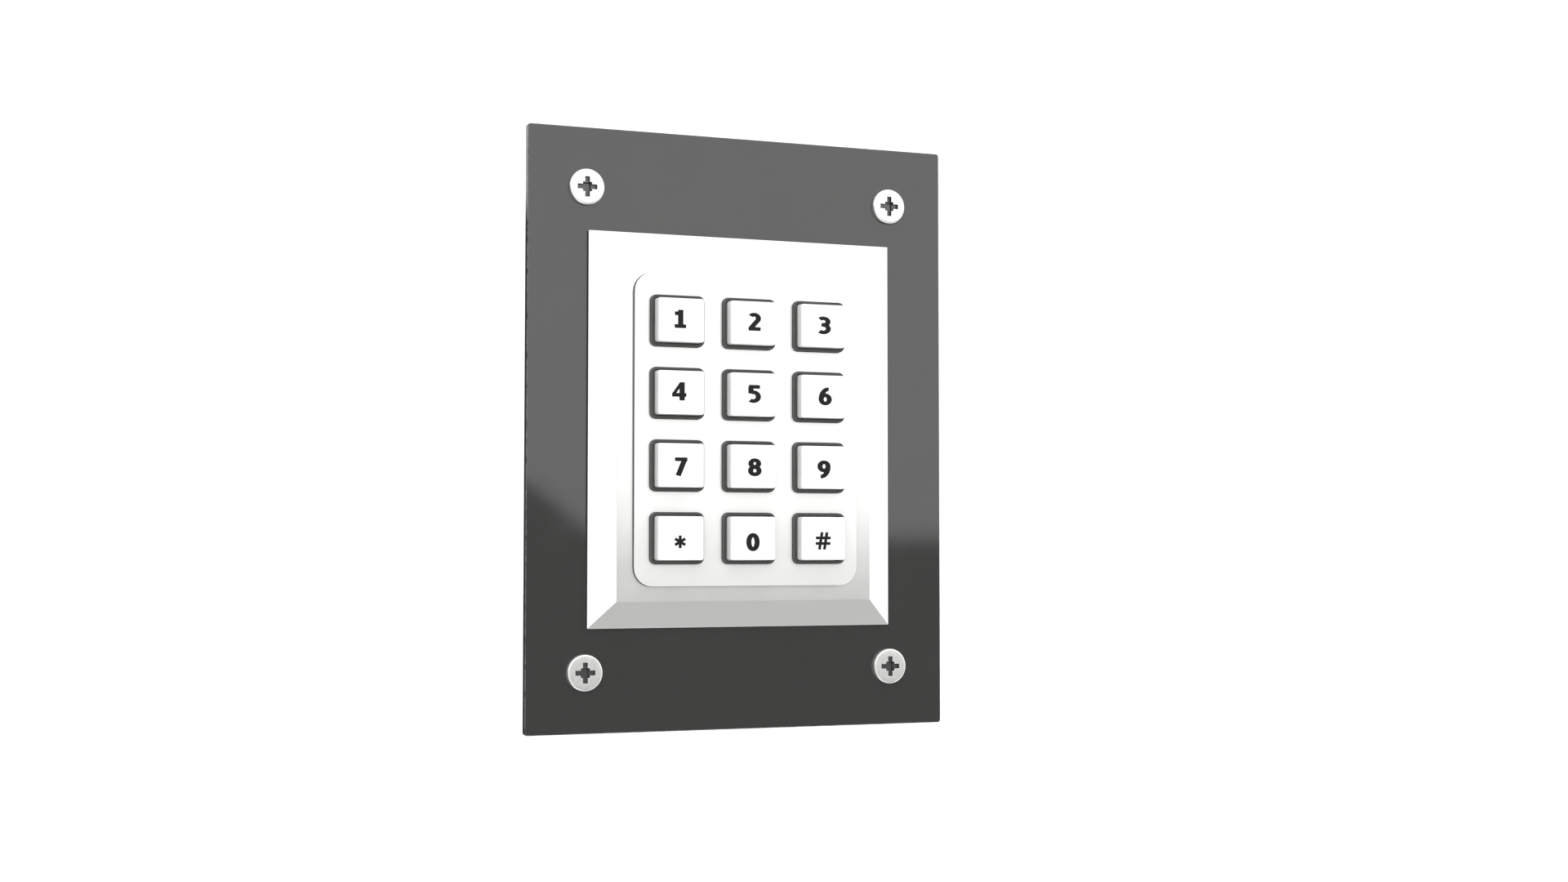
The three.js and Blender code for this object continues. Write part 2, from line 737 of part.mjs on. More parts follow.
makeFaceplate();
makeWallGasket();
makeBezelSeal();
makeFrontBezel();
makeKeyGuideFrame();
makeFascia();
keyPlaces.forEach(makeKey);
makeDomeMat();
makeBoard();
makeAntennaCoil();
makeControllerChip();
makeCrystal();
makeCapacitor();
makeBuzzer();
makeRelay();
makeRegulator();
makeTerminals();
makeTamperSwitch();
makeRearHousing();
makeCableGrommet();
makeWallScrews();
makeCaseScrews();

export default part;
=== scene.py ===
import math

import bmesh
import bpy
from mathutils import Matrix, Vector


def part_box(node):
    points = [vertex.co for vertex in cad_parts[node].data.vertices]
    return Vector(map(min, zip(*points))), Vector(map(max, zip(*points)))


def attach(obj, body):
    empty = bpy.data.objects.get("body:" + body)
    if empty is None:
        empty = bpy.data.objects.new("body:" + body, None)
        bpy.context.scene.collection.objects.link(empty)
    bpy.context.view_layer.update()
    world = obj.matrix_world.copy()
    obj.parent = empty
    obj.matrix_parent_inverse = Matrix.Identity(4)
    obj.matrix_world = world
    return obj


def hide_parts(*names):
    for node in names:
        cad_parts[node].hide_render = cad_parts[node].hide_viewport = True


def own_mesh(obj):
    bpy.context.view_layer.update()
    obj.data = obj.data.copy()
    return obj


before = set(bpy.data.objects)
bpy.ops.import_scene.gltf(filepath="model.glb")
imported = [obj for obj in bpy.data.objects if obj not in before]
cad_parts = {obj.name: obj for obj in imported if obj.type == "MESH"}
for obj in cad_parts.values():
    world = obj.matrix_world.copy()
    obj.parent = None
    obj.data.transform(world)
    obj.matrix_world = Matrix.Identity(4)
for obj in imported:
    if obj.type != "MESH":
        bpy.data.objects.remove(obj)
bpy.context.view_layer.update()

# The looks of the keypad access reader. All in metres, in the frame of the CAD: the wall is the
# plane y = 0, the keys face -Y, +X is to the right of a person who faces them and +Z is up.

MM = 0.001

# ----- driving dimensions

# Outlines share their number of points wherever one ring is joined to the next.
CORNER_STEPS = 6
RIM_STEPS = 3
ROUND_STEPS = 48
SHARPEST_CORNER = 0.02 * MM

PLATE_CORNER = 0.8 * MM
PLATE_CHAMFER = 0.14 * MM
PLATE_BLUNT = 0.05 * MM
PLATE_RIM = 0.1 * MM
PLATE_LIP = 3.5 * MM
WINDOW_CORNER = 4 * MM
SCREW_HOLE = 2.4 * MM

BEZEL_EDGE = 0.3 * MM
BEZEL_BEVEL_WIDTH = 7 * MM
BEZEL_CORNER = 0.12 * MM
BEZEL_RIM = 0.09 * MM
BEZEL_SKIN = 2 * MM
SKIRT_GAP = 0.3 * MM
SKIRT_WALL = 1.8 * MM
RECESS_DEPTH = 1 * MM
RECESS_GAP = 0.05 * MM
LEDGE = 3 * MM
BOSS_RADIUS = 3.3 * MM
BOSS_BORE = 1.5 * MM

PAD_CORNER = 5 * MM
FASCIA_RIM = 0.1 * MM
COLLAR_MARGIN = 0.9 * MM
COLLAR_CORNER = 1.6 * MM
COLLAR_RIM = 0.06 * MM
APERTURE_MARGIN = 0.2 * MM
APERTURE_CORNER = 0.9 * MM
OPENING_GAP = 0.05 * MM

KEY_FLANGE = 0.8 * MM
KEY_FLANGE_DEPTH = 1 * MM
KEY_CORNER = 0.7 * MM
KEY_RIM = 0.14 * MM
KEY_DRAFT = 0.13 * MM
KEY_WALL = 1.4 * MM
KEY_POST = 2.6 * MM

LEGEND_PROUD = 0.03 * MM
LEGEND_DEPTH = 0.15 * MM
# How wide each pen is, across and up
PEN = (1.5 * MM, 1.0 * MM)
THIN_PEN = (0.836 * MM, 0.76 * MM)

# ----- meshes from rings


def rounded_rectangle(width, height, radius):
    """The points (x, z) of a rectangle with round corners, centred on the origin."""
    signs = [(1, 1), (-1, 1), (-1, -1), (1, -1)]
    points = []
    for corner, (sx, sz) in enumerate(signs):
        for i in range(CORNER_STEPS + 1):
            angle = math.radians(90 * (corner + i / CORNER_STEPS))
            x = sx * (width / 2 - radius) + radius * math.cos(angle)
            z = sz * (height / 2 - radius) + radius * math.sin(angle)
            points.append((x, z))
    return points


def circle(radius, steps=ROUND_STEPS):
    """The points (x, z) of a circle about the origin."""
    turns = [2 * math.pi * i / steps for i in range(steps)]
    return [(radius * math.cos(t), radius * math.sin(t)) for t in turns]


def rectangle_grown_by(width, height, radius):
    """A function that gives the rounded rectangle's outline, grown by a margin."""

    def outline(margin):
        corner = max(radius + margin, SHARPEST_CORNER)
        return rounded_rectangle(width + 2 * margin, height + 2 * margin, corner)

    return outline


def circle_grown_by(radius):
    """A function that gives the circle's outline, grown by a margin."""
    return lambda margin: circle(radius + margin)


def ring(outline, y, centre=(0, 0)):
    """The outline as points in space at depth y."""
    return [Vector((centre[0] + x, y, centre[1] + z)) for x, z in outline]


def rim(outline, face, rear, radius, side=-1, centre=(0, 0), steps=RIM_STEPS):
    """Rings that round the edge from a flat face at depth face towards rear. The side is -1 where
    the outline shrinks towards the face, and 1 for a hole, where it grows."""
    towards = 1 if rear > face else -1
    rings = []
    for i in range(steps + 1):
        angle = math.radians(90 * i / steps)
        margin = side * radius * (1 - math.sin(angle))
        depth = face + towards * radius * (1 - math.cos(angle))
        rings.append(ring(outline(margin), depth, centre))
    return rings


def wall(outline, front, rear, front_rim, rear_rim, side=-1, centre=(0, 0)):
    """Rings from a front face to a rear face, with both edges rounded."""
    first = rim(outline, front, rear, front_rim, side, centre)
    last = rim(outline, rear, front, rear_rim, side, centre)
    return first + last[::-1]


def join(bm, rings, closed=False, slot=0):
    """Joins each ring to the next by quads in a material slot, and returns the rings' vertices."""
    loops = [[bm.verts.new(point) for point in points] for points in rings]
    pairs = list(zip(loops, loops[1:]))
    if closed:
        pairs.append((loops[-1], loops[0]))
    for a, b in pairs:
        for i in range(len(a)):
            j = (i + 1) % len(a)
            face = bm.faces.new((a[i], a[j], b[j], b[i]))
            face.material_index = slot
            face.smooth = True
    return loops


def cap(bm, loop, holes=()):
    """Closes the flat region inside a loop and outside its holes."""
    if not holes:
        bm.faces.new(loop)
        return
    edges = []
    for outline in [loop, *holes]:
        for i, vert in enumerate(outline):
            edges.append(bm.edges.get((vert, outline[(i + 1) % len(outline)])))
    bmesh.ops.triangle_fill(bm, edges=edges, use_beauty=True, use_dissolve=False)


SMOOTH_BELOW = math.radians(38)


def placed(name, data):
    """A new object of the scene."""
    made = bpy.data.objects.new(name, data)
    bpy.context.scene.collection.objects.link(made)
    return made


def meshed(name, bm):
    """Turns a bmesh into an object of the scene."""
    mesh = bpy.data.meshes.new(name)
    bm.to_mesh(mesh)
    bm.free()
    return placed(name, mesh)


def finished(name, bm, materials, body="reader", replaces=(), at=(0, 0, 0)):
    """Turns a bmesh into a piece that rides on a body, shaded smooth across its rounded edges."""
    bmesh.ops.recalc_face_normals(bm, faces=bm.faces)
    piece = meshed(name, bm)
    for material in materials:
        piece.data.materials.append(material)
    piece.location = at
    piece.data.set_sharp_from_angle(angle=SMOOTH_BELOW)
    weighted = piece.modifiers.new("flat_faces", "WEIGHTED_NORMAL")
    weighted.keep_sharp = True
    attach(piece, body)
    if replaces:
        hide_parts(*replaces)
    return piece


def chamfer(outline, face, rear, width, blunt):
    """Rings of a flat chamfer whose two edges are slightly blunted."""
    towards = 1 if rear > face else -1
    near, far = blunt / 2, width - blunt / 2
    steps = [(width + near, 0), (far, near), (near, far), (0, width + near)]
    return [ring(outline(-inset), face + towards * depth) for inset, depth in steps]


def turned(profile, centre=(0, 0), steps=ROUND_STEPS):
    """Rings about a line along Y, from a profile that is a list of (radius, y)."""
    return [ring(circle(radius, steps), y, centre) for radius, y in profile]


def lathe(bm, profile, centre, steps=ROUND_STEPS, closed=False):
    """A round body with a turned profile. An open profile is capped at both ends."""
    loops = join(bm, turned(profile, centre, steps), closed)
    if not closed:
        cap(bm, loops[0])
        cap(bm, loops[-1])


def arc(centre_r, centre_y, radius, start, end, steps=5):
    """Points (r, y) on part of a circle in a lathe's profile. Angles in degrees from +r to +y."""
    points = []
    for i in range(steps + 1):
        angle = math.radians(start + (end - start) * i / steps)
        points.append((centre_r + radius * math.cos(angle), centre_y + radius * math.sin(angle)))
    return points


# ----- places from the frame


def size_of(node):
    low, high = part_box(node)
    return high - low


def centre_of(node):
    """The centre (x, z) of a node."""
    low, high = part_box(node)
    middle = (low + high) / 2
    return middle.x, middle.z


def front_of(node):
    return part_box(node)[0].y


def rear_of(node):
    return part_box(node)[1].y


KEYS = ["1", "2", "3", "4", "5", "6", "7", "8", "9", "star", "0", "hash"]
CORNERS = ["upper_left", "upper_right", "lower_left", "lower_right"]


def places_of(family, members):
    """The centres of nodes named family_member, by member."""
    return {member: centre_of(f"{family}_{member}") for member in members}


key_places = places_of("key", KEYS)
wall_screws = places_of("wall_screw", CORNERS)
case_screws = places_of("case_screw", CORNERS)

key_flange = size_of("key_5")
KEY_WIDTH = key_flange.x - 2 * KEY_FLANGE
KEY_HEIGHT = key_flange.z - 2 * KEY_FLANGE


def round_a_key(margin, corner):
    """The outline that stands a margin outside a key's own."""
    return rectangle_grown_by(KEY_WIDTH + 2 * margin, KEY_HEIGHT + 2 * margin, corner)


bezel_size = size_of("front_bezel")
window = rectangle_grown_by(bezel_size.x - 2 * PLATE_LIP, bezel_size.z - 2 * PLATE_LIP, WINDOW_CORNER)

# ----- materials


def grey(value):
    return (value, value, value, 1)


# The span that most values of a noise lie in
NOISE_SPAN = (0.3, 0.7)
# The cosine of the turn at an edge where the edge mark (wear, and on the plate also a painted highlight)
# begins, and where it is full
EDGE_MARK_FROM = 0.995
EDGE_MARK_FULLY = 0.9


class Nodes:
    """Short ways to make nodes in one tree and to link them."""

    def __init__(self, tree):
        self.tree = tree

    def node(self, kind, **properties):
        made = self.tree.nodes.new(kind)
        for key, value in properties.items():
            setattr(made, key, value)
        return made

    def feed(self, value, socket):
        """Links an output to a socket, or sets a plain number or colour on it."""
        if isinstance(value, bpy.types.NodeSocket):
            self.tree.links.new(value, socket)
        else:
            socket.default_value = value

    def ranged(self, value, low, high, at_low=0, at_high=1, interpolation="LINEAR"):
        """The value's range low to high, mapped to at_low to at_high and held there outside."""
        mapped = self.node("ShaderNodeMapRange", interpolation_type=interpolation)
        self.feed(value, mapped.inputs["Value"])
        ends = {"From Min": low, "From Max": high, "To Min": at_low, "To Max": at_high}
        for socket, end in ends.items():
            mapped.inputs[socket].default_value = end
        return mapped.outputs["Result"]

    def maths(self, operation, first, second=0):
        made = self.node("ShaderNodeMath", operation=operation)
        self.feed(first, made.inputs[0])
        self.feed(second, made.inputs[1])
        return made.outputs[0]

    def times(self, first, second):
        return self.maths("MULTIPLY", first, second)


class Finish(Nodes):
    """A material in the making: noise, wear and bump that end in one Principled shader."""

    def __init__(self, name, **sockets):
        self.material = bpy.data.materials.new(name)
        self.material.use_nodes = True
        super().__init__(self.material.node_tree)
        self.shader = self.tree.nodes["Principled BSDF"]
        for socket, value in sockets.items():
            self.shader.inputs[socket.replace("_", " ")].default_value = value
        self.position = self.node("ShaderNodeTexCoord").outputs["Object"]

    def noise(self, grain, detail=3, stretch=(1, 1, 1)):
        """Noise whose blobs are about grain metres wide, longer along the stretched axes."""
        mapping = self.node("ShaderNodeMapping")
        self.feed(self.position, mapping.inputs["Vector"])
        mapping.inputs["Scale"].default_value = [1 / (grain * s) for s in stretch]
        texture = self.node("ShaderNodeTexNoise")
        self.feed(mapping.outputs["Vector"], texture.inputs["Vector"])
        texture.inputs["Scale"].default_value = 1
        texture.inputs["Detail"].default_value = detail
        return texture.outputs["Fac"]

    def cells(self, grain, feature="DISTANCE_TO_EDGE"):
        """Voronoi cells about grain metres wide."""
        texture = self.node("ShaderNodeTexVoronoi", feature=feature)
        self.feed(self.position, texture.inputs["Vector"])
        texture.inputs["Scale"].default_value = 1 / grain
        return texture.outputs["Distance"]

    def rings(self, pitch):
        """Circles about the object's own Y axis, a pitch apart."""
        texture = self.node("ShaderNodeTexWave", wave_type="RINGS", rings_direction="Y")
        self.feed(self.position, texture.inputs["Vector"])
        texture.inputs["Scale"].default_value = math.pi / (10 * pitch)
        texture.inputs["Distortion"].default_value = 0.6
        return texture.outputs["Fac"]

    def mixed(self, factor, first, second):
        """A colour between two colours. Sockets 6 and 7, and output 2, are those for colour."""
        made = self.node("ShaderNodeMix", data_type="RGBA")
        for value, socket in ((factor, 0), (first, 6), (second, 7)):
            self.feed(value, made.inputs[socket])
        return made.outputs[2]

    def edges(self, radius, patchiness):
        """A mask of edges for wear, and on the plate also a painted highlight: 1 where the surface turns
        within the radius, broken by noise.
        """
        bevel = self.node("ShaderNodeBevel", samples=4)
        bevel.inputs["Radius"].default_value = radius
        true_normal = self.node("ShaderNodeNewGeometry").outputs["Normal"]
        dot = self.node("ShaderNodeVectorMath", operation="DOT_PRODUCT")
        self.feed(bevel.outputs["Normal"], dot.inputs[0])
        self.feed(true_normal, dot.inputs[1])
        turn = self.ranged(dot.outputs["Value"], EDGE_MARK_FROM, EDGE_MARK_FULLY)
        patches = self.ranged(self.noise(2 * MM, 4), patchiness - 0.1, patchiness + 0.1)
        return self.times(turn, patches)

    def bumped(self, height, distance):
        """Bump of a real depth, in metres, added to any bump made before."""
        bump = self.node("ShaderNodeBump")
        self.feed(height, bump.inputs["Height"])
        bump.inputs["Distance"].default_value = distance
        normal = self.shader.inputs["Normal"]
        if normal.is_linked:
            self.feed(normal.links[0].from_socket, bump.inputs["Normal"])
        self.feed(bump.outputs["Normal"], normal)

    def coloured(self, factor, first, second):
        """Gives the shader a colour between two colours."""
        self.feed(self.mixed(factor, first, second), self.shader.inputs["Base Color"])

    def rough(self, value):
        self.feed(value, self.shader.inputs["Roughness"])

    def smudged(self, noise, low, high):
        """Gives the shader a roughness that goes from low to high with the noise."""
        self.rough(self.ranged(noise, *NOISE_SPAN, low, high))


def plate_metal():
    """Dark, smooth lacquer on sheet metal, with a few hairline marks. Its edges are paler: rubbed, and with
    a painted highlight along the rim.
    """
    made = Finish("plate_metal", IOR=1.78)
    cloud = made.noise(14 * MM)
    flake = made.noise(0.12 * MM, 2)
    tone = made.mixed(cloud, (0.0325, 0.0325, 0.0315, 1), (0.0365, 0.0365, 0.0355, 1))
    tone = made.mixed(made.ranged(flake, 0.62, 0.75, 0, 0.35), tone, grey(0.085))
    # Paler edges: wear, and a painted highlight along the plate's chamfered rim
    wear_and_highlight = made.edges(0.25 * MM, 0.45)
    made.coloured(wear_and_highlight, tone, grey(0.36))
    smudge = made.ranged(made.noise(9 * MM, 5), 0.35, 0.7, 0.035, 0.055)
    made.rough(made.maths("ADD", smudge, made.times(wear_and_highlight, 0.25)))
    hairline = made.ranged(made.noise(0.05 * MM, 1, (60, 1, 1)), 0.70, 0.78)
    made.bumped(hairline, 0.0002 * MM)
    made.bumped(made.noise(1.1 * MM, 1), 0.0004 * MM)
    return made.material


def white_gloss(name, tone, smudges, roughness, texture=0, **sockets):
    """White moulding: faint flow marks, orange peel, a trace of grime, smudges of a noise (grain,
    detail) and a fine moulded texture of a depth. The pad and housing are part metallic, which
    gives them the strong reflections of the photograph."""
    made = Finish(name, **sockets)
    cloud = made.noise(11 * MM)
    base = made.mixed(cloud, tone, [channel * 0.965 for channel in tone[:3]] + [1])
    specks = made.ranged(made.noise(0.35 * MM, 2), 0.72, 0.8, 0, 0.12)
    made.coloured(specks, base, (0.45, 0.43, 0.38, 1))
    made.bumped(made.noise(0.9 * MM, 2), 0.0006 * MM)
    made.smudged(made.noise(*smudges), *roughness)
    if texture:
        made.bumped(made.noise(0.12 * MM, 2), texture)
    return made.material


def legend_ink():
    """Dark ink of a key's marking."""
    made = Finish("legend_ink", IOR=1.3)
    made.coloured(made.noise(0.4 * MM), (0.006, 0.006, 0.006, 1), (0.014, 0.014, 0.013, 1))
    made.smudged(made.noise(0.3 * MM), 0.4, 0.6)
    made.bumped(made.noise(0.08 * MM, 2), 0.001 * MM)
    return made.material


def dark_frame():
    """Dark moulded plastic with a fine eroded grain, a little paler on rubbed rims."""
    made = Finish("dark_frame", IOR=1.5)
    base = made.mixed(made.noise(3 * MM), (0.040, 0.040, 0.039, 1), (0.052, 0.052, 0.050, 1))
    made.coloured(made.edges(0.05 * MM, 0.3), base, grey(0.075))
    made.smudged(made.noise(1.5 * MM, 4), 0.34, 0.5)
    made.bumped(made.noise(0.09 * MM, 3), 0.002 * MM)
    return made.material


def rubber(name, tone, grain):
    """Rubber or foam with a pitted skin, its pits painted darker as shade."""
    made = Finish(name)
    pits = made.cells(grain, "F1")
    base = made.mixed(made.noise(5 * MM), grey(tone), grey(tone * 1.7))
    # Painted shade: the colour darkens towards each pit's middle, where the bump sinks the skin
    made.coloured(made.ranged(pits, 0.05, 0.4, 0.6, 0), base, grey(tone * 0.5))
    made.smudged(made.noise(2 * MM), 0.7176, 0.92)
    made.bumped(pits, 0.05 * grain)
    return made.material


def rear_plastic():
    """Grey moulded plastic with a sparked grain, flow marks and dusty edges."""
    made = Finish("rear_plastic", IOR=1.5)
    flow = made.noise(8 * MM, 3, (1, 1, 4))
    base = made.mixed(flow, (0.075, 0.078, 0.083, 1), (0.095, 0.098, 0.104, 1))
    dust = made.ranged(made.noise(16 * MM, 6), 0.5, 0.75, 0, 0.35)
    base = made.mixed(dust, base, (0.125, 0.123, 0.118, 1))
    made.coloured(made.edges(0.3 * MM, 0.5), base, grey(0.2))
    made.smudged(made.noise(3 * MM, 4), 0.45, 0.62)
    made.bumped(made.noise(0.22 * MM, 3), 0.006 * MM)
    return made.material


def screw_steel():
    """Bright zinc-plated steel with turning rings and dull spots."""
    made = Finish("screw_steel", Metallic=0.8)
    blotch = made.noise(1.6 * MM, 4)
    made.coloured(blotch, (0.97, 0.97, 0.96, 1), (0.91, 0.91, 0.90, 1))
    made.smudged(blotch, 0.24, 0.32)
    made.bumped(made.rings(0.16 * MM), 0.0001 * MM)
    return made.material


def screw_recess_shade():
    """The inside of a cross recess, painted dark as shade; the screw's own metal is bright."""
    made = Finish("screw_recess_shade", IOR=1.76)
    made.coloured(made.noise(0.5 * MM), grey(0.055), grey(0.075))
    made.smudged(made.noise(0.3 * MM), 0.08, 0.2)
    made.bumped(made.noise(0.4 * MM, 2), 0.001 * MM)
    return made.material


def moulded(name, dark, light, roughness, grain, **sockets):
    """Plain moulded plastic, epoxy or tin, for the pieces inside the case."""
    made = Finish(name, **sockets)
    made.coloured(made.noise(2.5 * MM, 4), dark, light)
    made.smudged(made.noise(1 * MM, 4), roughness - 0.07, roughness + 0.07)
    made.bumped(made.noise(grain, 3), 0.02 * grain)
    return made.material


def board_laminate():
    """Green solder mask over woven glass, with copper pour that shows as a paler net."""
    made = Finish("board_laminate", IOR=1.5)
    net = made.ranged(made.cells(3.2 * MM), 0.04, 0.07)
    base = made.mixed(net, (0.020, 0.115, 0.045, 1), (0.012, 0.070, 0.028, 1))
    made.coloured(made.ranged(made.noise(6 * MM), *NOISE_SPAN, 0, 0.4), base, (0.01, 0.06, 0.03, 1))
    made.smudged(made.noise(2 * MM), 0.22, 0.36)
    made.bumped(net, 0.01 * MM)
    return made.material


def copper_wire():
    """Enamelled copper wire, wound in parallel turns."""
    made = Finish("copper_wire", Metallic=1)
    turns = made.noise(0.25 * MM, 2)
    made.coloured(turns, (0.50, 0.20, 0.09, 1), (0.72, 0.33, 0.16, 1))
    made.smudged(turns, 0.22, 0.4)
    made.bumped(turns, 0.02 * MM)
    return made.material


def silicone():
    """Milky silicone rubber."""
    made = Finish("silicone", IOR=1.41, Subsurface_Weight=0.3)
    made.shader.inputs["Subsurface Radius"].default_value = (1 * MM, 1 * MM, 1 * MM)
    made.coloured(made.noise(4 * MM), (0.56, 0.58, 0.60, 1), (0.66, 0.67, 0.68, 1))
    made.smudged(made.noise(1.5 * MM), 0.5, 0.68)
    made.bumped(made.noise(0.2 * MM, 2), 0.004 * MM)
    return made.material


PLATE_METAL = plate_metal()
WHITE_HOUSING = white_gloss("white_housing", (0.90, 0.90, 0.89, 1), (6 * MM, 5), (0.10, 0.13), Metallic=0.58)
WHITE_FASCIA = white_gloss("white_fascia", (0.92, 0.92, 0.91, 1), (5 * MM, 5), (0.11, 0.15), Metallic=0.35)
KEY_TONE = (0.96, 0.96, 0.955, 1)
WHITE_KEYS = white_gloss("white_keys", KEY_TONE, (4 * MM, 4), (0.30, 0.42), 0.0015 * MM, IOR=1.5)
LEGEND_INK = legend_ink()
DARK_FRAME = dark_frame()
SEAL_RUBBER = rubber("seal_rubber", 0.014, 0.3 * MM)
SEAL_GREY = rubber("seal_grey", 0.36, 0.3 * MM)
GASKET_FOAM = rubber("gasket_foam", 0.020, 0.7 * MM)
REAR_PLASTIC = rear_plastic()
SCREW_STEEL = screw_steel()
# Painted shade for the inside of the screws' cross recesses
SCREW_RECESS_SHADE = screw_recess_shade()
SILICONE = silicone()
BOARD_LAMINATE = board_laminate()
COPPER_WIRE = copper_wire()
BLACK_EPOXY = moulded("black_epoxy", grey(0.012), grey(0.024), 0.5, 0.15 * MM)
TIN_PLATE = moulded("tin_plate", grey(0.62), grey(0.75), 0.3, 0.3 * MM, Metallic=1)
RELAY_BLUE = moulded("relay_blue", (0.02, 0.08, 0.28, 1), (0.03, 0.11, 0.36, 1), 0.36, 0.2 * MM)
TERMINAL_GREEN = moulded("terminal_green", (0.02, 0.17, 0.07, 1), (0.03, 0.24, 0.10, 1), 0.42, 0.2 * MM)
BUTTON_RED = moulded("button_red", (0.34, 0.020, 0.015, 1), (0.46, 0.032, 0.022, 1), 0.38, 0.2 * MM)

# ----- flat sheets with holes


def make_sheet(node, name, material, slot, corner, holes, rims, chamfered=None, front=None):
    """A flat piece in place of a CAD node. A hole is (outline, centre), and rims are the radii of
    the front and rear edges. Chamfered is the width and blunting of a chamfer on the front's
    outer edge instead, and front is a depth other than the node's own."""
    size = size_of(node)
    front = front_of(node) if front is None else front
    rear = rear_of(node)
    outline = rectangle_grown_by(size.x, size.z, corner)
    sides = wall(outline, front, rear, *rims)
    if chamfered:
        sides[: RIM_STEPS + 1] = chamfer(outline, front, rear, *chamfered)
    bm = bmesh.new()
    outer = join(bm, sides)
    inner = [join(bm, wall(hole, front, rear, *rims, 1, centre)) for hole, centre in holes]
    cap(bm, outer[0], [loops[0] for loops in inner])
    cap(bm, outer[-1], [loops[-1] for loops in inner])
    finished(name, bm, [material], replaces=[node])


def screw_holes():
    return [(circle_grown_by(SCREW_HOLE), centre) for centre in wall_screws.values()]


def make_faceplate():
    holes = [(window, (0, 0)), *screw_holes()]
    looks = ("faceplate_sheet", PLATE_METAL, "plate_metal")
    edge = (PLATE_CHAMFER, PLATE_BLUNT)
    make_sheet("faceplate", *looks, PLATE_CORNER, holes, (PLATE_RIM, PLATE_RIM), edge)


GASKET_RIM = 0.3 * MM
GASKET_CORNER = 0.8 * MM
FLANGE_CORNER = 5 * MM
FLANGE_GAP = 0.3 * MM


def make_wall_gasket():
    flange = size_of("rear_housing")
    opening = rectangle_grown_by(flange.x + 2 * FLANGE_GAP, flange.z + 2 * FLANGE_GAP, FLANGE_CORNER)
    holes = [(opening, (0, 0)), *screw_holes()]
    looks = ("wall_gasket_foam", GASKET_FOAM, "rubber")
    make_sheet("wall_gasket", *looks, GASKET_CORNER, holes, (GASKET_RIM, GASKET_RIM))


SEAL_RIM = 0.12 * MM
SEAL_CORNER = 0.2 * MM


def make_bezel_seal():
    looks = ("bezel_seal_strip", SEAL_GREY, "rubber")
    make_sheet("bezel_seal", *looks, SEAL_CORNER, [(window, (0, 0))], (SEAL_RIM, SEAL_RIM))


def make_fascia():
    opening = round_a_key(COLLAR_MARGIN + OPENING_GAP, COLLAR_CORNER + OPENING_GAP)
    holes = [(opening, centre) for centre in key_places.values()]
    looks = ("keypad_overlay", WHITE_FASCIA, "white_housing")
    make_sheet("keypad_fascia", *looks, PAD_CORNER, holes, (FASCIA_RIM, 0.2 * FASCIA_RIM))


# ----- front bezel


def make_front_bezel():
    face_y = front_of("front_bezel")
    rear_y = rear_of("front_bezel")
    edge_y = front_of("bezel_seal")
    pad = size_of("keypad_fascia")
    base = rectangle_grown_by(bezel_size.x, bezel_size.z, BEZEL_CORNER)
    recess = rectangle_grown_by(pad.x, pad.z, PAD_CORNER)
    recess_y = face_y + RECESS_DEPTH
    cavity_y = face_y + BEZEL_SKIN
    cavity_margin = -SKIRT_GAP - SKIRT_WALL

    # A unit step down the slope of the bevel, to place the ring just past the face's edge
    rise = edge_y - BEZEL_EDGE - face_y
    slope = Vector((BEZEL_BEVEL_WIDTH, rise)).normalized()

    def face_edge(margin, y):
        return ring(base(-BEZEL_BEVEL_WIDTH + margin), face_y + y)

    rings = [
        ring(recess(-LEDGE), recess_y),
        ring(recess(RECESS_GAP), recess_y),
        *rim(recess, face_y, recess_y, BEZEL_RIM, 1)[::-1],
        face_edge(-BEZEL_RIM, 0),
        face_edge(0, 0.2 * BEZEL_RIM),
        face_edge(slope.x * BEZEL_RIM, slope.y * BEZEL_RIM + 0.02 * BEZEL_RIM),
        ring(base(-BEZEL_RIM), edge_y - BEZEL_EDGE - 0.5 * BEZEL_RIM),
        ring(base(0), edge_y - BEZEL_EDGE + 0.5 * BEZEL_RIM),
        ring(base(0), edge_y - BEZEL_RIM),
        ring(base(-BEZEL_RIM), edge_y),
        ring(window(-SKIRT_GAP), edge_y),
        ring(window(-SKIRT_GAP), rear_y),
        ring(window(cavity_margin), rear_y),
        ring(window(cavity_margin), cavity_y),
        ring(recess(-LEDGE), cavity_y),
    ]
    bm = bmesh.new()
    join(bm, rings, closed=True)
    boss_front, boss_rear = cavity_y - BEZEL_SKIN / 2, front_of("circuit_board")
    boss = [(BOSS_RADIUS, boss_front), (BOSS_RADIUS, boss_rear)]
    boss += [(BOSS_BORE, boss_rear), (BOSS_BORE, boss_front)]
    for centre in case_screws.values():
        lathe(bm, boss, centre, closed=True)
    finished("front_bezel_shell", bm, [WHITE_HOUSING], replaces=["front_bezel"])


# ----- keypad


def make_guide_frame():
    """A dark base plate with a raised collar round each key."""
    pad = size_of("key_guide_frame")
    outline = rectangle_grown_by(pad.x, pad.z, PAD_CORNER)
    collar = round_a_key(COLLAR_MARGIN, COLLAR_CORNER)
    aperture = round_a_key(APERTURE_MARGIN, APERTURE_CORNER)
    top = front_of("key_guide_frame")
    base = rear_of("keypad_fascia")
    rear = rear_of("key_guide_frame")
    bm = bmesh.new()
    outer = join(bm, wall(outline, base, rear, COLLAR_RIM, COLLAR_RIM))
    feet = []
    ends = []
    for centre in key_places.values():
        rings = [ring(collar(0), base, centre)]
        rings += rim(collar, top, rear, COLLAR_RIM, -1, centre)[::-1]
        rings += rim(aperture, top, rear, COLLAR_RIM, 1, centre)
        rings.append(ring(aperture(0), rear, centre))
        loops = join(bm, rings)
        feet.append(loops[0])
        ends.append(loops[-1])
    cap(bm, outer[0], feet)
    cap(bm, outer[-1], ends)
    finished("key_guide_moulding", bm, [DARK_FRAME], replaces=["key_guide_frame"])


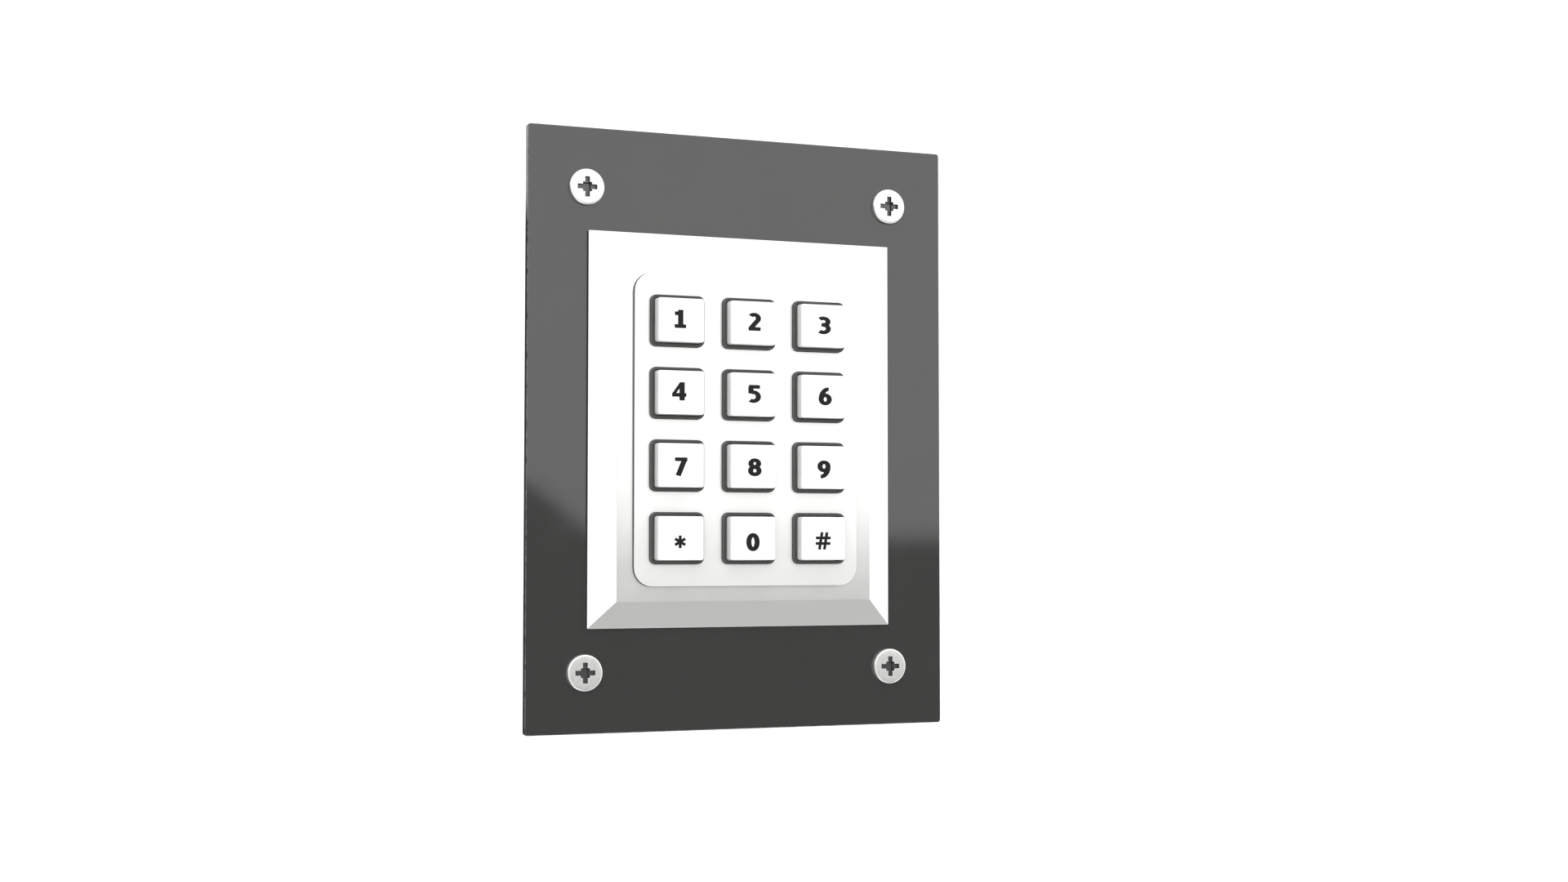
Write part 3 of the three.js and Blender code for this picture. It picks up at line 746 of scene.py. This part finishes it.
def make_key(label):
    """A hollow cap with a flange behind the guide frame and a post for the dome."""
    node = f"key_{label}"
    centre = key_places[label]
    body = f"{node}_body"
    face = front_of(node) + LEGEND_PROUD
    rear = rear_of(node)
    flange_front = rear - KEY_FLANGE_DEPTH
    outline = round_a_key(0, KEY_CORNER)
    drafted = round_a_key(-KEY_DRAFT, KEY_CORNER - KEY_DRAFT)
    pocket = outline(-KEY_WALL)
    bm = bmesh.new()
    rings = rim(drafted, face, rear, KEY_RIM, -1, centre)
    rings += [
        ring(outline(0), flange_front, centre),
        ring(outline(KEY_FLANGE), flange_front, centre),
        ring(outline(KEY_FLANGE), rear, centre),
        ring(pocket, rear, centre),
        ring(pocket, face + KEY_WALL, centre),
    ]
    loops = join(bm, rings)
    post = join(bm, turned([(KEY_POST, face + KEY_WALL), (KEY_POST, rear)], centre))
    cap(bm, loops[0])
    cap(bm, loops[-1], [post[0]])
    cap(bm, post[-1])
    finished(f"{node}_cap", bm, [WHITE_KEYS], body, [node])
    make_legend(label, centre, face, body)


# ----- key legends

# A glyph is a list of strokes round the glyph's middle. A stroke is a list of points (x, z) in
# millimetres along the pen's path. It closes on itself where it starts with "ring", and is drawn
# by a finer pen where it starts with "fine".

OVAL_STEPS = 32


def bow(cx, cz, rx, rz, start, end, steps=14):
    """Points on part of an ellipse. Angles in degrees, counter-clockwise from +x."""
    turns = [math.radians(start + (end - start) * i / steps) for i in range(steps + 1)]
    return [(cx + rx * math.cos(t), cz + rz * math.sin(t)) for t in turns]


def oval(cx, cz, rx, rz):
    last = 360 - 360 / OVAL_STEPS
    return ["ring", *bow(cx, cz, rx, rz, 0, last, OVAL_STEPS - 1)]


# Half a glyph's height, and the height of a level stroke's path at its top
TOP = 2.42
LINE = TOP - PEN[1] / MM / 2
SIX = [oval(0, -0.82, 1.2, 1.12), bow(0.95, -0.8, 2.15, 2.76, 88, 176)]
SPOKE_LENGTH = 1.66


def spoke(degrees):
    """A stroke across the star's middle."""
    x = SPOKE_LENGTH * math.cos(math.radians(degrees))
    z = SPOKE_LENGTH * math.sin(math.radians(degrees))
    return [(-x, -z), (x, z)]


GLYPHS = {
    "0": [oval(0, 0, 1.18, LINE)],
    "1": [[(-1.6, -LINE), (1.65, -LINE)], [(0.1, -LINE), (0.1, TOP)], [(-1.55, 1.45), (0.1, 1.45)]],
    "2": [bow(-0.1, 0.93, 1.2, 0.98, 146, -40) + [(-0.95, -1.6)], [(-1.75, -LINE), (1.75, -LINE)]],
    "3": [
        bow(-0.25, 1.02, 1.42, 0.9, 136, -90) + [(-0.8, 0.12)],
        [(-0.8, 0.12)] + bow(-0.25, -0.9, 1.52, 1.02, 90, -136),
    ],
    "4": [["fine", (0.5, 2.05), (-1.55, -0.75)], [(-2.0, -0.95), (2.0, -0.95)], [(0.8, -TOP), (0.8, TOP)]],
    "5": [
        [(-1.6, LINE), (1.6, LINE)],
        [(-1.0, LINE), (-1.0, 0.1)],
        [(-1.0, 0.42)] + bow(-0.3, -0.72, 1.45, 1.19, 92, -130),
    ],
    "6": SIX,
    "7": [[(-1.75, LINE), (1.75, LINE)], [(1.0, 2.0), (-0.85, -TOP)]],
    "8": [oval(0, 1.0, 1.1, 0.9), oval(0, -0.92, 1.22, 0.98)],
    "9": [[p if p == "ring" else (-p[0], -p[1]) for p in stroke] for stroke in SIX],
    "star": [spoke(90), spoke(30), spoke(-30)],
    "hash": [
        [(-1.1, -2.35), (-0.3, 2.35)],
        [(0.35, -2.35), (1.15, 2.35)],
        [(-2.15, 0.8), (2.25, 0.8)],
        [(-2.2, -0.7), (2.15, -0.7)],
    ],
}
THIN_GLYPHS = ["star", "hash"]
# A fine stroke's width as a share of the pen's
FINE_STROKE = 0.65

# Where each glyph's middle stands from the middle of its key: (x, z) in millimetres.
GLYPH_PLACES = {
    "1": (-0.34, 0.24),
    "2": (0.36, 0.32),
    "3": (0.26, 0.14),
    "4": (-0.60, 0.29),
    "5": (0.32, 0.14),
    "6": (0.58, 0.06),
    "7": (0.00, -0.36),
    "8": (0.45, -0.26),
    "9": (0.20, -0.55),
    "star": (-0.24, -0.95),
    "0": (-0.05, -1.00),
    "hash": (-0.08, -0.65),
}

# The least cosine that lengthens a corner's mitre
MITRE_LIMIT = 0.5


def pen_edges(path, closed, across, up):
    """The two edges of a stroke drawn by an elliptical pen, as lists of points (x, z)."""
    stretch = across / up
    squeezed = [Vector((x * MM / stretch, z * MM)) for x, z in path]
    count = len(squeezed)
    sides = ([], [])
    for i, point in enumerate(squeezed):
        along_in = (point - squeezed[i - 1]).normalized()
        along_out = (squeezed[(i + 1) % count] - point).normalized()
        if not closed and i == 0:
            along_in = along_out
        if not closed and i == count - 1:
            along_out = along_in
        middle = (along_in + along_out).normalized()
        normal = Vector((-middle.y, middle.x))
        reach = up / 2 / max(middle.dot(along_in), MITRE_LIMIT)
        for side, sign in zip(sides, (1, -1)):
            moved = point + normal * (sign * reach)
            side.append((moved.x * stretch, moved.y))
    return sides


def stroke_solid(stroke, pen, front, rear, centre):
    """One stroke of a glyph as a closed prism, in its own object for the union."""
    kind = stroke[0] if isinstance(stroke[0], str) else "line"
    closed = kind == "ring"
    path = stroke if kind == "line" else stroke[1:]
    scale = FINE_STROKE if kind == "fine" else 1
    left, right = pen_edges(path, closed, scale * pen[0], scale * pen[1])
    corners = [(left, front), (right, front), (right, rear), (left, rear)]
    bm = bmesh.new()
    rows = [[bm.verts.new(p) for p in ring(side, y, centre)] for side, y in corners]
    count = len(path)
    spans = count if closed else count - 1
    for a, b in zip(rows, rows[1:] + rows[:1]):
        for i in range(spans):
            j = (i + 1) % count
            bm.faces.new((a[i], a[j], b[j], b[i]))
    if not closed:
        for end in (0, -1):
            bm.faces.new([row[end] for row in rows])
    bmesh.ops.recalc_face_normals(bm, faces=bm.faces)
    return meshed("stroke", bm)


def united(solids):
    """A bmesh of the solids joined into one skin. The solids are used up."""
    first = solids[0]
    for other in solids[1:]:
        union = first.modifiers.new("union", "BOOLEAN")
        union.operation = "UNION"
        union.solver = "EXACT"
        union.object = other
    graph = bpy.context.evaluated_depsgraph_get()
    bm = bmesh.new()
    bm.from_mesh(first.evaluated_get(graph).to_mesh())
    for solid in solids:
        bpy.data.objects.remove(solid)
    return bm


def make_legend(label, centre, face, body):
    """The key's digit, star or hash, a hair proud of its face."""
    x, z = GLYPH_PLACES[label]
    pen = THIN_PEN if label in THIN_GLYPHS else PEN
    at = (centre[0] + x * MM, centre[1] + z * MM)
    front = face - LEGEND_PROUD
    rear = face + LEGEND_DEPTH
    solids = [stroke_solid(stroke, pen, front, rear, at) for stroke in GLYPHS[label]]
    finished(f"key_{label}_legend", united(solids), [LEGEND_INK], body)


# ----- screws

# The flat part of a head as a share of its radius, and the most its crown may be of its height
HEAD_FLAT_SHARE = 4.35 / 4.83
CROWN_SHARE = 0.6
HEAD_CROWN = 0.5 * MM
HEAD_EDGE = 0.12 * MM
CROWN_STEPS = 5
RECESS_SLOT = 1
CROSS_REACH = 2.7 * MM
CROSS_HALF = 0.65 * MM
CROSS_DEPTH = 0.9 * MM
HUB_HALF = 1.25 * MM
HUB_DEPTH = 1.5 * MM
HUB_TAPER = 0.8
RECESS_TAPER = 0.92
THREAD_PITCH = 1.5 * MM
THREAD_DEPTH = 0.42 * MM
THREAD_STEPS = 24
GROOVE_SLOPE = 2.6
RINGS_PER_TURN = 8
TIP_LENGTH = 4 * MM
TIP_RADIUS = 0.25 * MM


def cross_outline(scale):
    """The mouth of a cross recess with a square hub: five points for each quarter turn."""
    reach = CROSS_REACH * scale
    half = CROSS_HALF * scale
    hub = HUB_HALF * scale
    quarter = [(reach, -half), (reach, half), (hub, half), (hub, hub), (half, hub)]
    turns = [(1, 0), (0, 1), (-1, 0), (0, -1)]
    return [(x * cos - z * sin, x * sin + z * cos) for cos, sin in turns for x, z in quarter]


def cross_recess(bm, mouth, inwards, scale):
    """Makes a cross recess that opens at depth mouth, and returns the loop of its mouth."""

    def level(depth, taper=1.0):
        return ring(cross_outline(scale * taper), mouth + inwards * depth * scale)

    top, floor = join(bm, [level(0), level(CROSS_DEPTH, RECESS_TAPER)], slot=RECESS_SLOT)
    faces = [[floor[5 * turn + i] for i in (-1, 0, 1, 2)] for turn in range(4)]
    hub = [floor[5 * turn + i] for turn in range(4) for i in (2, 3, 4)]
    bottom_y = mouth + inwards * HUB_DEPTH * scale
    bottom = [bm.verts.new((v.co.x * HUB_TAPER, bottom_y, v.co.z * HUB_TAPER)) for v in hub]
    for i in range(len(hub)):
        j = (i + 1) % len(hub)
        faces.append((hub[i], hub[j], bottom[j], bottom[i]))
    faces.append(bottom)
    for loop in faces:
        bm.faces.new(loop).material_index = RECESS_SLOT
    return top


def thread_rings(radius, start, end, tip):
    """Rings of a threaded shank that fades in after start and narrows to a point at the tip."""
    step = THREAD_PITCH / RINGS_PER_TURN
    count = int(abs(tip - start) / step)
    towards = 1 if tip > start else -1
    rings = []
    for k in range(count + 1):
        depth = k * step
        left = abs(tip - start) - depth
        narrow = min(1, left / TIP_LENGTH)
        crest = TIP_RADIUS + (radius - TIP_RADIUS) * narrow
        fade = min(1, max(0, depth - abs(end - start)) / THREAD_PITCH) * min(1, narrow * 2)
        points = []
        for i in range(THREAD_STEPS):
            turn = i / THREAD_STEPS
            phase = (depth / THREAD_PITCH - turn) % 1
            groove = min(1, GROOVE_SLOPE * abs(2 * phase - 1)) if fade else 1
            r = crest - fade * THREAD_DEPTH * (1 - groove)
            points.append((r * math.cos(2 * math.pi * turn), r * math.sin(2 * math.pi * turn)))
        rings.append(ring(points, start + towards * depth))
    return rings


def make_screw(node, head_front, head_rear, tip, shank, cross_scale, plain):
    """A pan-head screw about its own Y axis. Head front and rear, and tip, are depths. The shank
    is a radius, and plain is the length of it that has no thread."""
    head_radius = size_of(node).x / 2
    towards = 1 if tip > head_front else -1
    x, z = centre_of(node)
    flat = HEAD_FLAT_SHARE * head_radius
    crown = min(HEAD_CROWN, abs(head_rear - head_front) * CROWN_SHARE)
    profile = []
    for i in range(CROWN_STEPS + 1):
        angle = math.radians(90 * i / CROWN_STEPS)
        r = flat + (head_radius - flat) * math.sin(angle)
        profile.append((r, head_front + towards * crown * (1 - math.cos(angle))))
    profile.append((head_radius, head_rear - towards * HEAD_EDGE))
    profile.append((head_radius - HEAD_EDGE, head_rear))
    bm = bmesh.new()
    head = join(bm, turned(profile))
    mouth = cross_recess(bm, head_front, towards, cross_scale)
    cap(bm, head[0], [mouth])
    shank_loops = join(bm, thread_rings(shank, head_rear, head_rear + towards * plain, tip))
    cap(bm, head[-1], [shank_loops[0]])
    cap(bm, shank_loops[-1])
    # The second slot paints the cross recess dark, as painted shade
    name, metals = f"{node}_pan_head", [SCREW_STEEL, SCREW_RECESS_SHADE]
    finished(name, bm, metals, replaces=[node], at=(x, 0, z))


WALL_SHANK = 2.1 * MM
WALL_PLAIN = 3.2 * MM
CASE_SHANK = 1.45 * MM
CASE_HEAD = 2 * MM
CASE_PLAIN = 16 * MM
CASE_CROSS_SCALE = 0.6


def make_screws():
    for corner in CORNERS:
        node = f"wall_screw_{corner}"
        seat = front_of("faceplate")
        make_screw(node, front_of(node), seat, rear_of(node), WALL_SHANK, 1, WALL_PLAIN)
    for corner in CORNERS:
        node = f"case_screw_{corner}"
        head = rear_of(node)
        seat = head - CASE_HEAD
        make_screw(node, head, seat, front_of(node), CASE_SHANK, CASE_CROSS_SCALE, CASE_PLAIN)


# ----- rear housing

FLANGE_DEPTH = 1.5 * MM
HOUSING_STEP = 4 * MM
HOUSING_WALL = 2 * MM
HOUSING_CORNER = 5 * MM
HOUSING_RIM = 1 * MM
HOUSING_RIM_STEPS = 5
FLANGE_RIM = 0.25 * MM
FLANGE_FILLET = 0.3 * MM
PILLAR = 4.4 * MM
PILLAR_BORE = 1.65 * MM
COUNTERBORE = 3.1 * MM
COUNTERBORE_DEPTH = 2.4 * MM
CABLE_HOLE = 6.2 * MM
PLUNGER_HOLE = 1.7 * MM
MOUTH_RIM = 0.2 * MM
LABEL_WIDTH = 44 * MM
LABEL_HEIGHT = 18 * MM
LABEL_CORNER = 2 * MM
LABEL_DEPTH = 0.35 * MM
LABEL_RISE = 15 * MM
EJECTOR_RADIUS = 3.5 * MM
EJECTOR_DEPTH = 0.2 * MM
# How far across and up an ejector mark is
EJECTOR_PLACE = 30 * MM


def shallow_recess(bm, outline, face, depth, centre, rim_radius):
    """Makes a shallow recess in the rear face, and returns the loop of its mouth."""
    mouth = rim(outline, face, face - depth, rim_radius, 1, centre)
    floor = ring(outline(-rim_radius), face - depth, centre)
    loops = join(bm, [*mouth, floor])
    cap(bm, loops[-1])
    return loops[0]


def make_rear_housing():
    node = "rear_housing"
    flange = size_of(node)
    front, rear = front_of(node), rear_of(node)
    floor = rear - HOUSING_WALL
    pillar_front = rear_of("circuit_board")
    outer = rectangle_grown_by(flange.x, flange.z, HOUSING_CORNER)
    box = rectangle_grown_by(flange.x - 2 * HOUSING_STEP, flange.z - 2 * HOUSING_STEP, HOUSING_CORNER)

    bm = bmesh.new()
    rings = rim(outer, front, 0, FLANGE_RIM)
    rings += rim(outer, front + FLANGE_DEPTH, front, FLANGE_RIM)[::-1]
    rings.append(ring(box(FLANGE_FILLET), front + FLANGE_DEPTH))
    rings.append(ring(box(0), front + FLANGE_DEPTH + FLANGE_FILLET))
    rings += rim(box, rear, 0, HOUSING_RIM, steps=HOUSING_RIM_STEPS)[::-1]
    outside = join(bm, rings)
    inside = join(bm, [ring(box(-HOUSING_WALL), y) for y in (front, floor)])
    cap(bm, outside[0], [inside[0]])

    floor_holes = []
    rear_mouths = []
    for radius, passing in [(CABLE_HOLE, "cable_grommet"), (PLUNGER_HOLE, "tamper_plunger")]:
        centre = centre_of(passing)
        mouth = rim(circle_grown_by(radius), rear, floor, MOUTH_RIM, 1, centre)
        hole = join(bm, [*turned([(radius, floor)], centre), *mouth[::-1]])
        floor_holes.append(hole[0])
        rear_mouths.append(hole[-1])
    for centre in case_screws.values():
        seat = rear - COUNTERBORE_DEPTH
        pillar = [(PILLAR, floor), (PILLAR, pillar_front), (PILLAR_BORE, pillar_front)]
        pillar += [(PILLAR_BORE, seat), (COUNTERBORE, seat)]
        mouth = rim(circle_grown_by(COUNTERBORE), rear, seat, MOUTH_RIM, 1, centre)
        loops = join(bm, [*turned(pillar, centre), *mouth[::-1]])
        floor_holes.append(loops[0])
        rear_mouths.append(loops[-1])
    label = rectangle_grown_by(LABEL_WIDTH, LABEL_HEIGHT, LABEL_CORNER)
    rear_mouths.append(shallow_recess(bm, label, rear, LABEL_DEPTH, (0, LABEL_RISE), MOUTH_RIM / 2))
    pin = circle_grown_by(EJECTOR_RADIUS)
    for x in (-EJECTOR_PLACE, EJECTOR_PLACE):
        for z in (-EJECTOR_PLACE, EJECTOR_PLACE):
            rear_mouths.append(shallow_recess(bm, pin, rear, EJECTOR_DEPTH, (x, z), MOUTH_RIM / 4))
    cap(bm, inside[-1], floor_holes)
    cap(bm, outside[-1], rear_mouths)
    finished("rear_housing_shell", bm, [REAR_PLASTIC], replaces=[node])


GROMMET_BORE = 3.6 * MM
GROMMET_NECK = 6 * MM
GROMMET_LIP = 1.4 * MM
GROMMET_ROUND = 0.6 * MM


def make_cable_grommet():
    node = "cable_grommet"
    front, rear = front_of(node), rear_of(node)
    radius = size_of(node).x / 2
    neck_front, neck_rear = front + GROMMET_LIP, rear - GROMMET_LIP
    soft = GROMMET_ROUND
    profile = [
        *arc(GROMMET_BORE + soft, front + soft, soft, 180, 270),
        *arc(radius - soft, front + soft, soft, 270, 360),
        (radius, neck_front),
        (GROMMET_NECK, neck_front),
        (GROMMET_NECK, neck_rear),
        (radius, neck_rear),
        *arc(radius - soft, rear - soft, soft, 0, 90),
        *arc(GROMMET_BORE + 2 * soft, rear + soft, 2 * soft, 270, 225, 3),
        *arc(GROMMET_BORE + soft, rear - soft, soft, 90, 180)[3:],
    ]
    bm = bmesh.new()
    lathe(bm, profile, centre_of(node), closed=True)
    finished("cable_grommet_ring", bm, [SEAL_RUBBER], replaces=[node])


PLUNGER_RADIUS = 1.5 * MM
PLUNGER_COLLAR = 1 * MM
PLUNGER_ROUND = 0.15 * MM
PLUNGER_TIP_ROUND = 0.9 * MM


def make_tamper_plunger():
    node = "tamper_plunger"
    front, rear = front_of(node), rear_of(node)
    collar_radius = size_of(node).x / 2
    collar_rear = rear_of("rear_housing") - HOUSING_WALL
    collar_front = collar_rear - PLUNGER_COLLAR
    soft = PLUNGER_ROUND
    tip = PLUNGER_TIP_ROUND
    profile = [
        (PLUNGER_RADIUS - soft, front),
        (PLUNGER_RADIUS, front + soft),
        (PLUNGER_RADIUS, collar_front),
        (collar_radius - soft, collar_front),
        (collar_radius, collar_front + soft),
        (collar_radius, collar_rear - soft),
        (collar_radius - soft, collar_rear),
        (PLUNGER_RADIUS, collar_rear),
        *arc(PLUNGER_RADIUS - tip, rear - tip, tip, 0, 84, 7),
    ]
    bm = bmesh.new()
    lathe(bm, profile, centre_of(node))
    finished("tamper_plunger_pin", bm, [BUTTON_RED], f"{node}_body", [node])


# ----- dome mat

DOME_HEIGHT = 2.6 * MM
DOME_MOUTH = 4 * MM
# Half of a dome's section, as (radius, depth behind its top) in millimetres: down the outside to
# the foot, back up the inside of the wall, and down the pin in the middle.
DOME_OUTSIDE = [(0.05, 0), (2.1, 0), (2.4, 0.2), (2.7, 0.6), (4.4, 2.35), (4.6, 2.6)]
DOME_INSIDE = [(4, 2.6), (2, 1.2), (1.5, 1.2), (1.4, 2.3), (0.05, 2.3)]
DOME_STEPS = 32
MAT_CORNER = 6 * MM
MAT_RIM = 0.15 * MM


def make_dome_mat():
    """A silicone sheet, and a hollow dome under each key."""
    top = front_of("dome_mat")
    sheet_front = top + DOME_HEIGHT
    holes = [(circle_grown_by(DOME_MOUTH), centre) for centre in key_places.values()]
    looks = ("dome_mat_sheet", SILICONE, "silicone")
    make_sheet("dome_mat", *looks, MAT_CORNER, holes, (MAT_RIM, MAT_RIM), front=sheet_front)
    profile = [(radius * MM, top + depth * MM) for radius, depth in DOME_OUTSIDE + DOME_INSIDE]
    for label, centre in key_places.items():
        bm = bmesh.new()
        lathe(bm, profile, centre, steps=DOME_STEPS, closed=True)
        dome = finished(f"dome_{label}", bm, [SILICONE])
        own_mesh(dome)


# ----- pieces kept from the CAD

KEPT = {
    "circuit_board": (BOARD_LAMINATE, 0.1 * MM),
    "antenna_coil": (COPPER_WIRE, 0.25 * MM),
    "controller_chip": (BLACK_EPOXY, 0.06 * MM),
    "crystal": (TIN_PLATE, 0.12 * MM),
    "capacitor": (BLACK_EPOXY, 0.1 * MM),
    "buzzer": (BLACK_EPOXY, 0.15 * MM),
    "relay": (RELAY_BLUE, 0.2 * MM),
    "voltage_regulator": (BLACK_EPOXY, 0.08 * MM),
    "terminal_block": (TERMINAL_GREEN, 0.1 * MM),
    "tamper_switch_body": (BLACK_EPOXY, 0.12 * MM),
}
for number in range(1, 7):
    KEPT[f"terminal_screw_{number}"] = (SCREW_STEEL, 0.08 * MM)


def dress_kept_nodes():
    """Gives the CAD nodes that stay shown a finish and softly broken edges."""
    for node, (material, edge) in KEPT.items():
        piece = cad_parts[node]
        piece.data.materials.clear()
        piece.data.materials.append(material)
        bevel = piece.modifiers.new("broken_edges", "BEVEL")
        bevel.width = edge
        bevel.segments = 2
        bevel.limit_method = "ANGLE"
        bevel.harden_normals = True


# ----- floor, light and camera

FLOOR_Z = -0.30
FLOOR_SIDE = 24.0
FLOOR_GRAIN = 0.4
FLOOR_ROUGHNESS = 0.9
LIGHT = 1.3
SHADE = 0.20
WING = 0.08
LIGHT_COLOUR = (1, 1, 0.995, 1)
# Where the screens' edges are, seen from the object, in degrees. Azimuth is 0 to the front and
# grows to the right, and elevation grows upwards. A pair is the start and end of an edge's blur.
# SCREEN_RIGHT and WING_EDGE count to the left instead, and WING_TOP counts down.
SCREENS_BOTTOM = (-65, -55)
SCREEN_LEFT = (-3, 3)
SCREEN_RIGHT = (-50, -44)
SCREEN_TOP = 0.25
SCREEN_LEAN = 0.67
SCREEN_LEANS_BELOW = 17.8
SCREEN_BLUR = 0.3
WING_TOP = (-9.4, -8.4)
WING_EDGE = (45, 60)
SOFT_BOX_PLACE = (0.1, -1.7, 0.1)
SOFT_BOX_SIZE = 1.2
SOFT_BOX_POWER = 11
CAMERA_PLACE = (-0.21485, -0.5520, -0.0314)
CAMERA_YAW = 22.527
CAMERA_PITCH = 2.816
LENS = 50
SENSOR = 36
CLIPPED_AT = (0.01, 100)


def make_floor():
    """A pale floor that the camera sees, and that leaves the object's own light alone."""
    bm = bmesh.new()
    half = FLOOR_SIDE / 2
    corners = [(-half, -half), (half, -half), (half, half), (-half, half)]
    bm.faces.new([bm.verts.new((x, y, FLOOR_Z)) for x, y in corners])
    floor = meshed("floor", bm)
    made = Finish("floor_pale", IOR=1.5)
    made.coloured(made.noise(FLOOR_GRAIN), grey(0.90), grey(0.93))
    made.rough(FLOOR_ROUGHNESS)
    floor.data.materials.append(made.material)
    floor.visible_glossy = False
    floor.visible_diffuse = False


def make_light():
    """An even studio dome with two darker screens: one low at the front right, which the glossy
    faces reflect as a horizon, and a wing low on the left. A soft box in front lifts it all."""
    world = bpy.data.worlds.new("studio")
    bpy.context.scene.world = world
    world.use_nodes = True
    nodes = Nodes(world.node_tree)
    maths, times = nodes.maths, nodes.times

    def step(value, start, end):
        """0 below start, 1 above end and smooth between."""
        return nodes.ranged(value, start, end, interpolation="SMOOTHSTEP")

    split = nodes.node("ShaderNodeSeparateXYZ")
    nodes.feed(nodes.node("ShaderNodeTexCoord").outputs["Generated"], split.inputs[0])
    x, y, z = split.outputs
    azimuth = maths("DEGREES", maths("ARCTAN2", x, times(y, -1)))
    leftward = times(azimuth, -1)
    elevation = maths("DEGREES", maths("ARCSINE", z))
    downward = times(elevation, -1)
    above_floor = step(elevation, *SCREENS_BOTTOM)

    leaning = maths("MAXIMUM", maths("SUBTRACT", SCREEN_LEANS_BELOW, azimuth), 0)
    top = maths("ADD", SCREEN_TOP, times(SCREEN_LEAN, leaning))
    below = step(maths("SUBTRACT", top, elevation), -SCREEN_BLUR, SCREEN_BLUR)
    sides = times(step(azimuth, *SCREEN_LEFT), step(leftward, *SCREEN_RIGHT))
    screen = times(times(below, above_floor), sides)

    wing = times(step(downward, *WING_TOP), above_floor)
    wing = times(wing, step(leftward, *WING_EDGE))

    shade = maths("ADD", times(screen, LIGHT - SHADE), times(wing, LIGHT - WING))
    seen = nodes.node("ShaderNodeLightPath").outputs["Is Camera Ray"]
    shade = times(shade, maths("SUBTRACT", 1, seen))
    background = world.node_tree.nodes["Background"]
    background.inputs["Color"].default_value = LIGHT_COLOUR
    nodes.feed(maths("SUBTRACT", LIGHT, shade), background.inputs["Strength"])

    data = bpy.data.lights.new("front_soft_box", "AREA")
    data.shape = "DISK"
    data.size = SOFT_BOX_SIZE
    data.energy = SOFT_BOX_POWER
    soft_box = placed("front_soft_box", data)
    soft_box.location = SOFT_BOX_PLACE
    soft_box.rotation_euler = (-Vector(SOFT_BOX_PLACE)).to_track_quat("-Z", "Y").to_euler()
    soft_box.visible_glossy = False
    soft_box.visible_camera = False


def make_camera():
    data = bpy.data.cameras.new("camera")
    data.lens = LENS
    data.sensor_width = SENSOR
    data.clip_start, data.clip_end = CLIPPED_AT
    camera = placed("camera", data)
    camera.location = CAMERA_PLACE
    camera.rotation_euler = (math.radians(90 + CAMERA_PITCH), 0, math.radians(-CAMERA_YAW))
    bpy.context.scene.camera = camera


# ----- the scene

make_camera()
make_light()
make_floor()
make_faceplate()
make_wall_gasket()
make_bezel_seal()
make_front_bezel()
make_guide_frame()
make_fascia()
for label in KEYS:
    make_key(label)
make_dome_mat()
make_screws()
make_rear_housing()
make_cable_grommet()
make_tamper_plunger()
dress_kept_nodes()

bpy.context.scene.view_settings.view_transform = "Standard"
